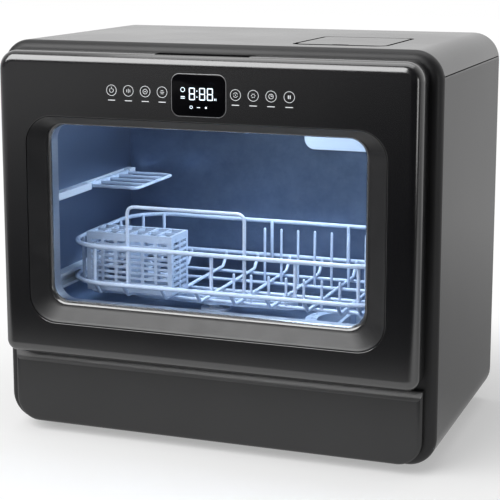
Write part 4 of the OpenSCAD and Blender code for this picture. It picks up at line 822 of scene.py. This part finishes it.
def axis_of(tree, vector, axis):
    split = tree.nodes.new("ShaderNodeSeparateXYZ")
    tree.links.new(vector, split.inputs["Vector"])
    return split.outputs[axis]


def shades(tree, value, a, b, stops):
    """Grey steps along a value that runs from a to b; each stop is a value and its grey."""
    r = tree.nodes.new("ShaderNodeMapRange")
    r.inputs["From Min"].default_value = a
    r.inputs["From Max"].default_value = b
    tree.links.new(value, r.inputs["Value"])
    n = tree.nodes.new("ShaderNodeValToRGB")
    n.color_ramp.interpolation = "EASE"
    elements = n.color_ramp.elements
    while len(elements) < len(stops):
        elements.new(0.5)
    for element, (at, grey) in zip(elements, stops):
        element.position = (at - a) / (b - a)
        element.color = (grey, grey, grey, 1)
    tree.links.new(r.outputs["Result"], n.inputs["Fac"])
    return n.outputs["Color"]


# Painted reflections: the glowing greys that reflections see on the floor, by place in metres: along Y, and
# along X on the left
MIRRORED_Y = ((-1.3, 0.01), (-0.58, 0.02), (-0.36, 0.66), (0.2, 0.32), (1.4, 0.50))
MIRRORED_X = ((-2.0, 0.30), (-0.9, 0.08), (-0.35, 0.01), (0.1, 0.0))


def studio_floor_material():
    """White paper. The camera sees it with the machine's shadow, and nearly white further out.
    Reflections see a painted glow in its place: nearly black in front, brightest just before the machine,
    and grey behind it and far to the left."""
    m = bpy.data.materials.new("floor_white")
    m.use_nodes = True
    t = m.node_tree
    paper = t.nodes["Principled BSDF"]
    paper.inputs["Base Color"].default_value = (0.92, 0.92, 0.92, 1)
    paper.inputs["Roughness"].default_value = 0.8
    paper.inputs["Specular IOR Level"].default_value = 0.2
    place = t.nodes.new("ShaderNodeTexCoord").outputs["Object"]
    far = t.nodes.new("ShaderNodeVectorMath")
    far.operation = "LENGTH"
    t.links.new(place, far.inputs[0])
    fade = t.nodes.new("ShaderNodeMixShader")
    t.links.new(ramp(t, far.outputs["Value"], 0.36, 1.0, 0.28, 0.62), fade.inputs["Fac"])
    t.links.new(paper.outputs["BSDF"], fade.inputs[1])
    t.links.new(glow(t, "ShaderNodeEmission", 1.02), fade.inputs[2])
    lighter = t.nodes.new("ShaderNodeVectorMath")
    lighter.operation = "MAXIMUM"
    t.links.new(shades(t, axis_of(t, place, "Y"), -2.0, 2.0, MIRRORED_Y), lighter.inputs[0])
    t.links.new(shades(t, axis_of(t, place, "X"), -3.0, 3.0, MIRRORED_X), lighter.inputs[1])
    # Painted reflections: the floor glows with these greys for reflections only
    mirrored = t.nodes.new("ShaderNodeEmission")
    t.links.new(lighter.outputs["Vector"], mirrored.inputs["Color"])
    t.links.new(light_by_ray(t, paper.outputs["BSDF"], fade.outputs["Shader"], mirrored.outputs["Emission"]),
                t.nodes["Material Output"].inputs["Surface"])
    return m


FLOOR_HW, FLOOR_Z = 8.0, -0.0005
corners = [(-FLOOR_HW, -FLOOR_HW), (FLOOR_HW, -FLOOR_HW), (FLOOR_HW, FLOOR_HW), (-FLOOR_HW, FLOOR_HW)]
floor_mesh = bpy.data.meshes.new("studio_floor")
floor_mesh.from_pydata(level(corners, FLOOR_Z), [], [(0, 1, 2, 3)])
floor_mesh.materials.append(studio_floor_material())
floor = to_scene("studio_floor", floor_mesh)

world = bpy.data.worlds.new("studio")
bpy.context.scene.world = world
world.use_nodes = True
wt = world.node_tree
wt.nodes.remove(wt.nodes["Background"])
way = wt.nodes.new("ShaderNodeTexCoord").outputs["Generated"]
sky = glow(wt, "ShaderNodeBackground", ramp(wt, axis_of(wt, way, "Y"), 0.035, 0.84, -0.7, 0.88))
soft = glow(wt, "ShaderNodeBackground", 0.30)
white = glow(wt, "ShaderNodeBackground", 1.0)
wt.links.new(light_by_ray(wt, soft, white, sky), wt.nodes["World Output"].inputs["Surface"])


def area(name, place, aim, size, radiance, color=(1, 1, 1)):
    """A soft box; radiance is how bright its face looks."""
    light = bpy.data.lights.new(name, "AREA")
    light.shape = "RECTANGLE"
    light.size, light.size_y = size
    light.energy = radiance * math.pi * size[0] * size[1]
    light.color = color
    o = to_scene(name, light)
    o.location = place
    o.rotation_euler = (Vector(aim) - Vector(place)).to_track_quat("-Z", "Y").to_euler()


area("key", (-0.90, -1.60, 1.62), (-0.08, -0.15, 0.36), (2.2, 1.75), 4.2)
area("overhead", (0.0, 0.1, 2.2), (0, 0, 0.2), (2.0, 1.6), 1.2)
area("right_box", (1.95, -1.25, 0.42), (0.1, -0.12, 0.3), (0.42, 0.80), 2.4)
area("tub_light", (0.02, 0.0, 0.380), (-0.02, -0.02, 0.15), (0.28, 0.16), 11.0, (0.70, 0.84, 1.0))

# The photograph keeps upright lines upright, and the small shift goes part of the way there
AZIMUTH, ELEVATION = math.radians(20.227), math.radians(10.096)
camera = bpy.data.cameras.new("camera")
camera.lens = 108.04
camera.sensor_width = 36
camera.shift_y = -0.1
camera.clip_end = 50
eye = to_scene("camera", camera)
eye.location = (0.5656, -1.54365, 0.54183)
look_along = Vector((-math.sin(AZIMUTH) * math.cos(ELEVATION), math.cos(AZIMUTH) * math.cos(ELEVATION),
                     -math.sin(ELEVATION)))
eye.rotation_euler = look_along.to_track_quat("-Z", "Y").to_euler()
bpy.context.scene.camera = eye
bpy.context.scene.view_settings.view_transform = "Standard"
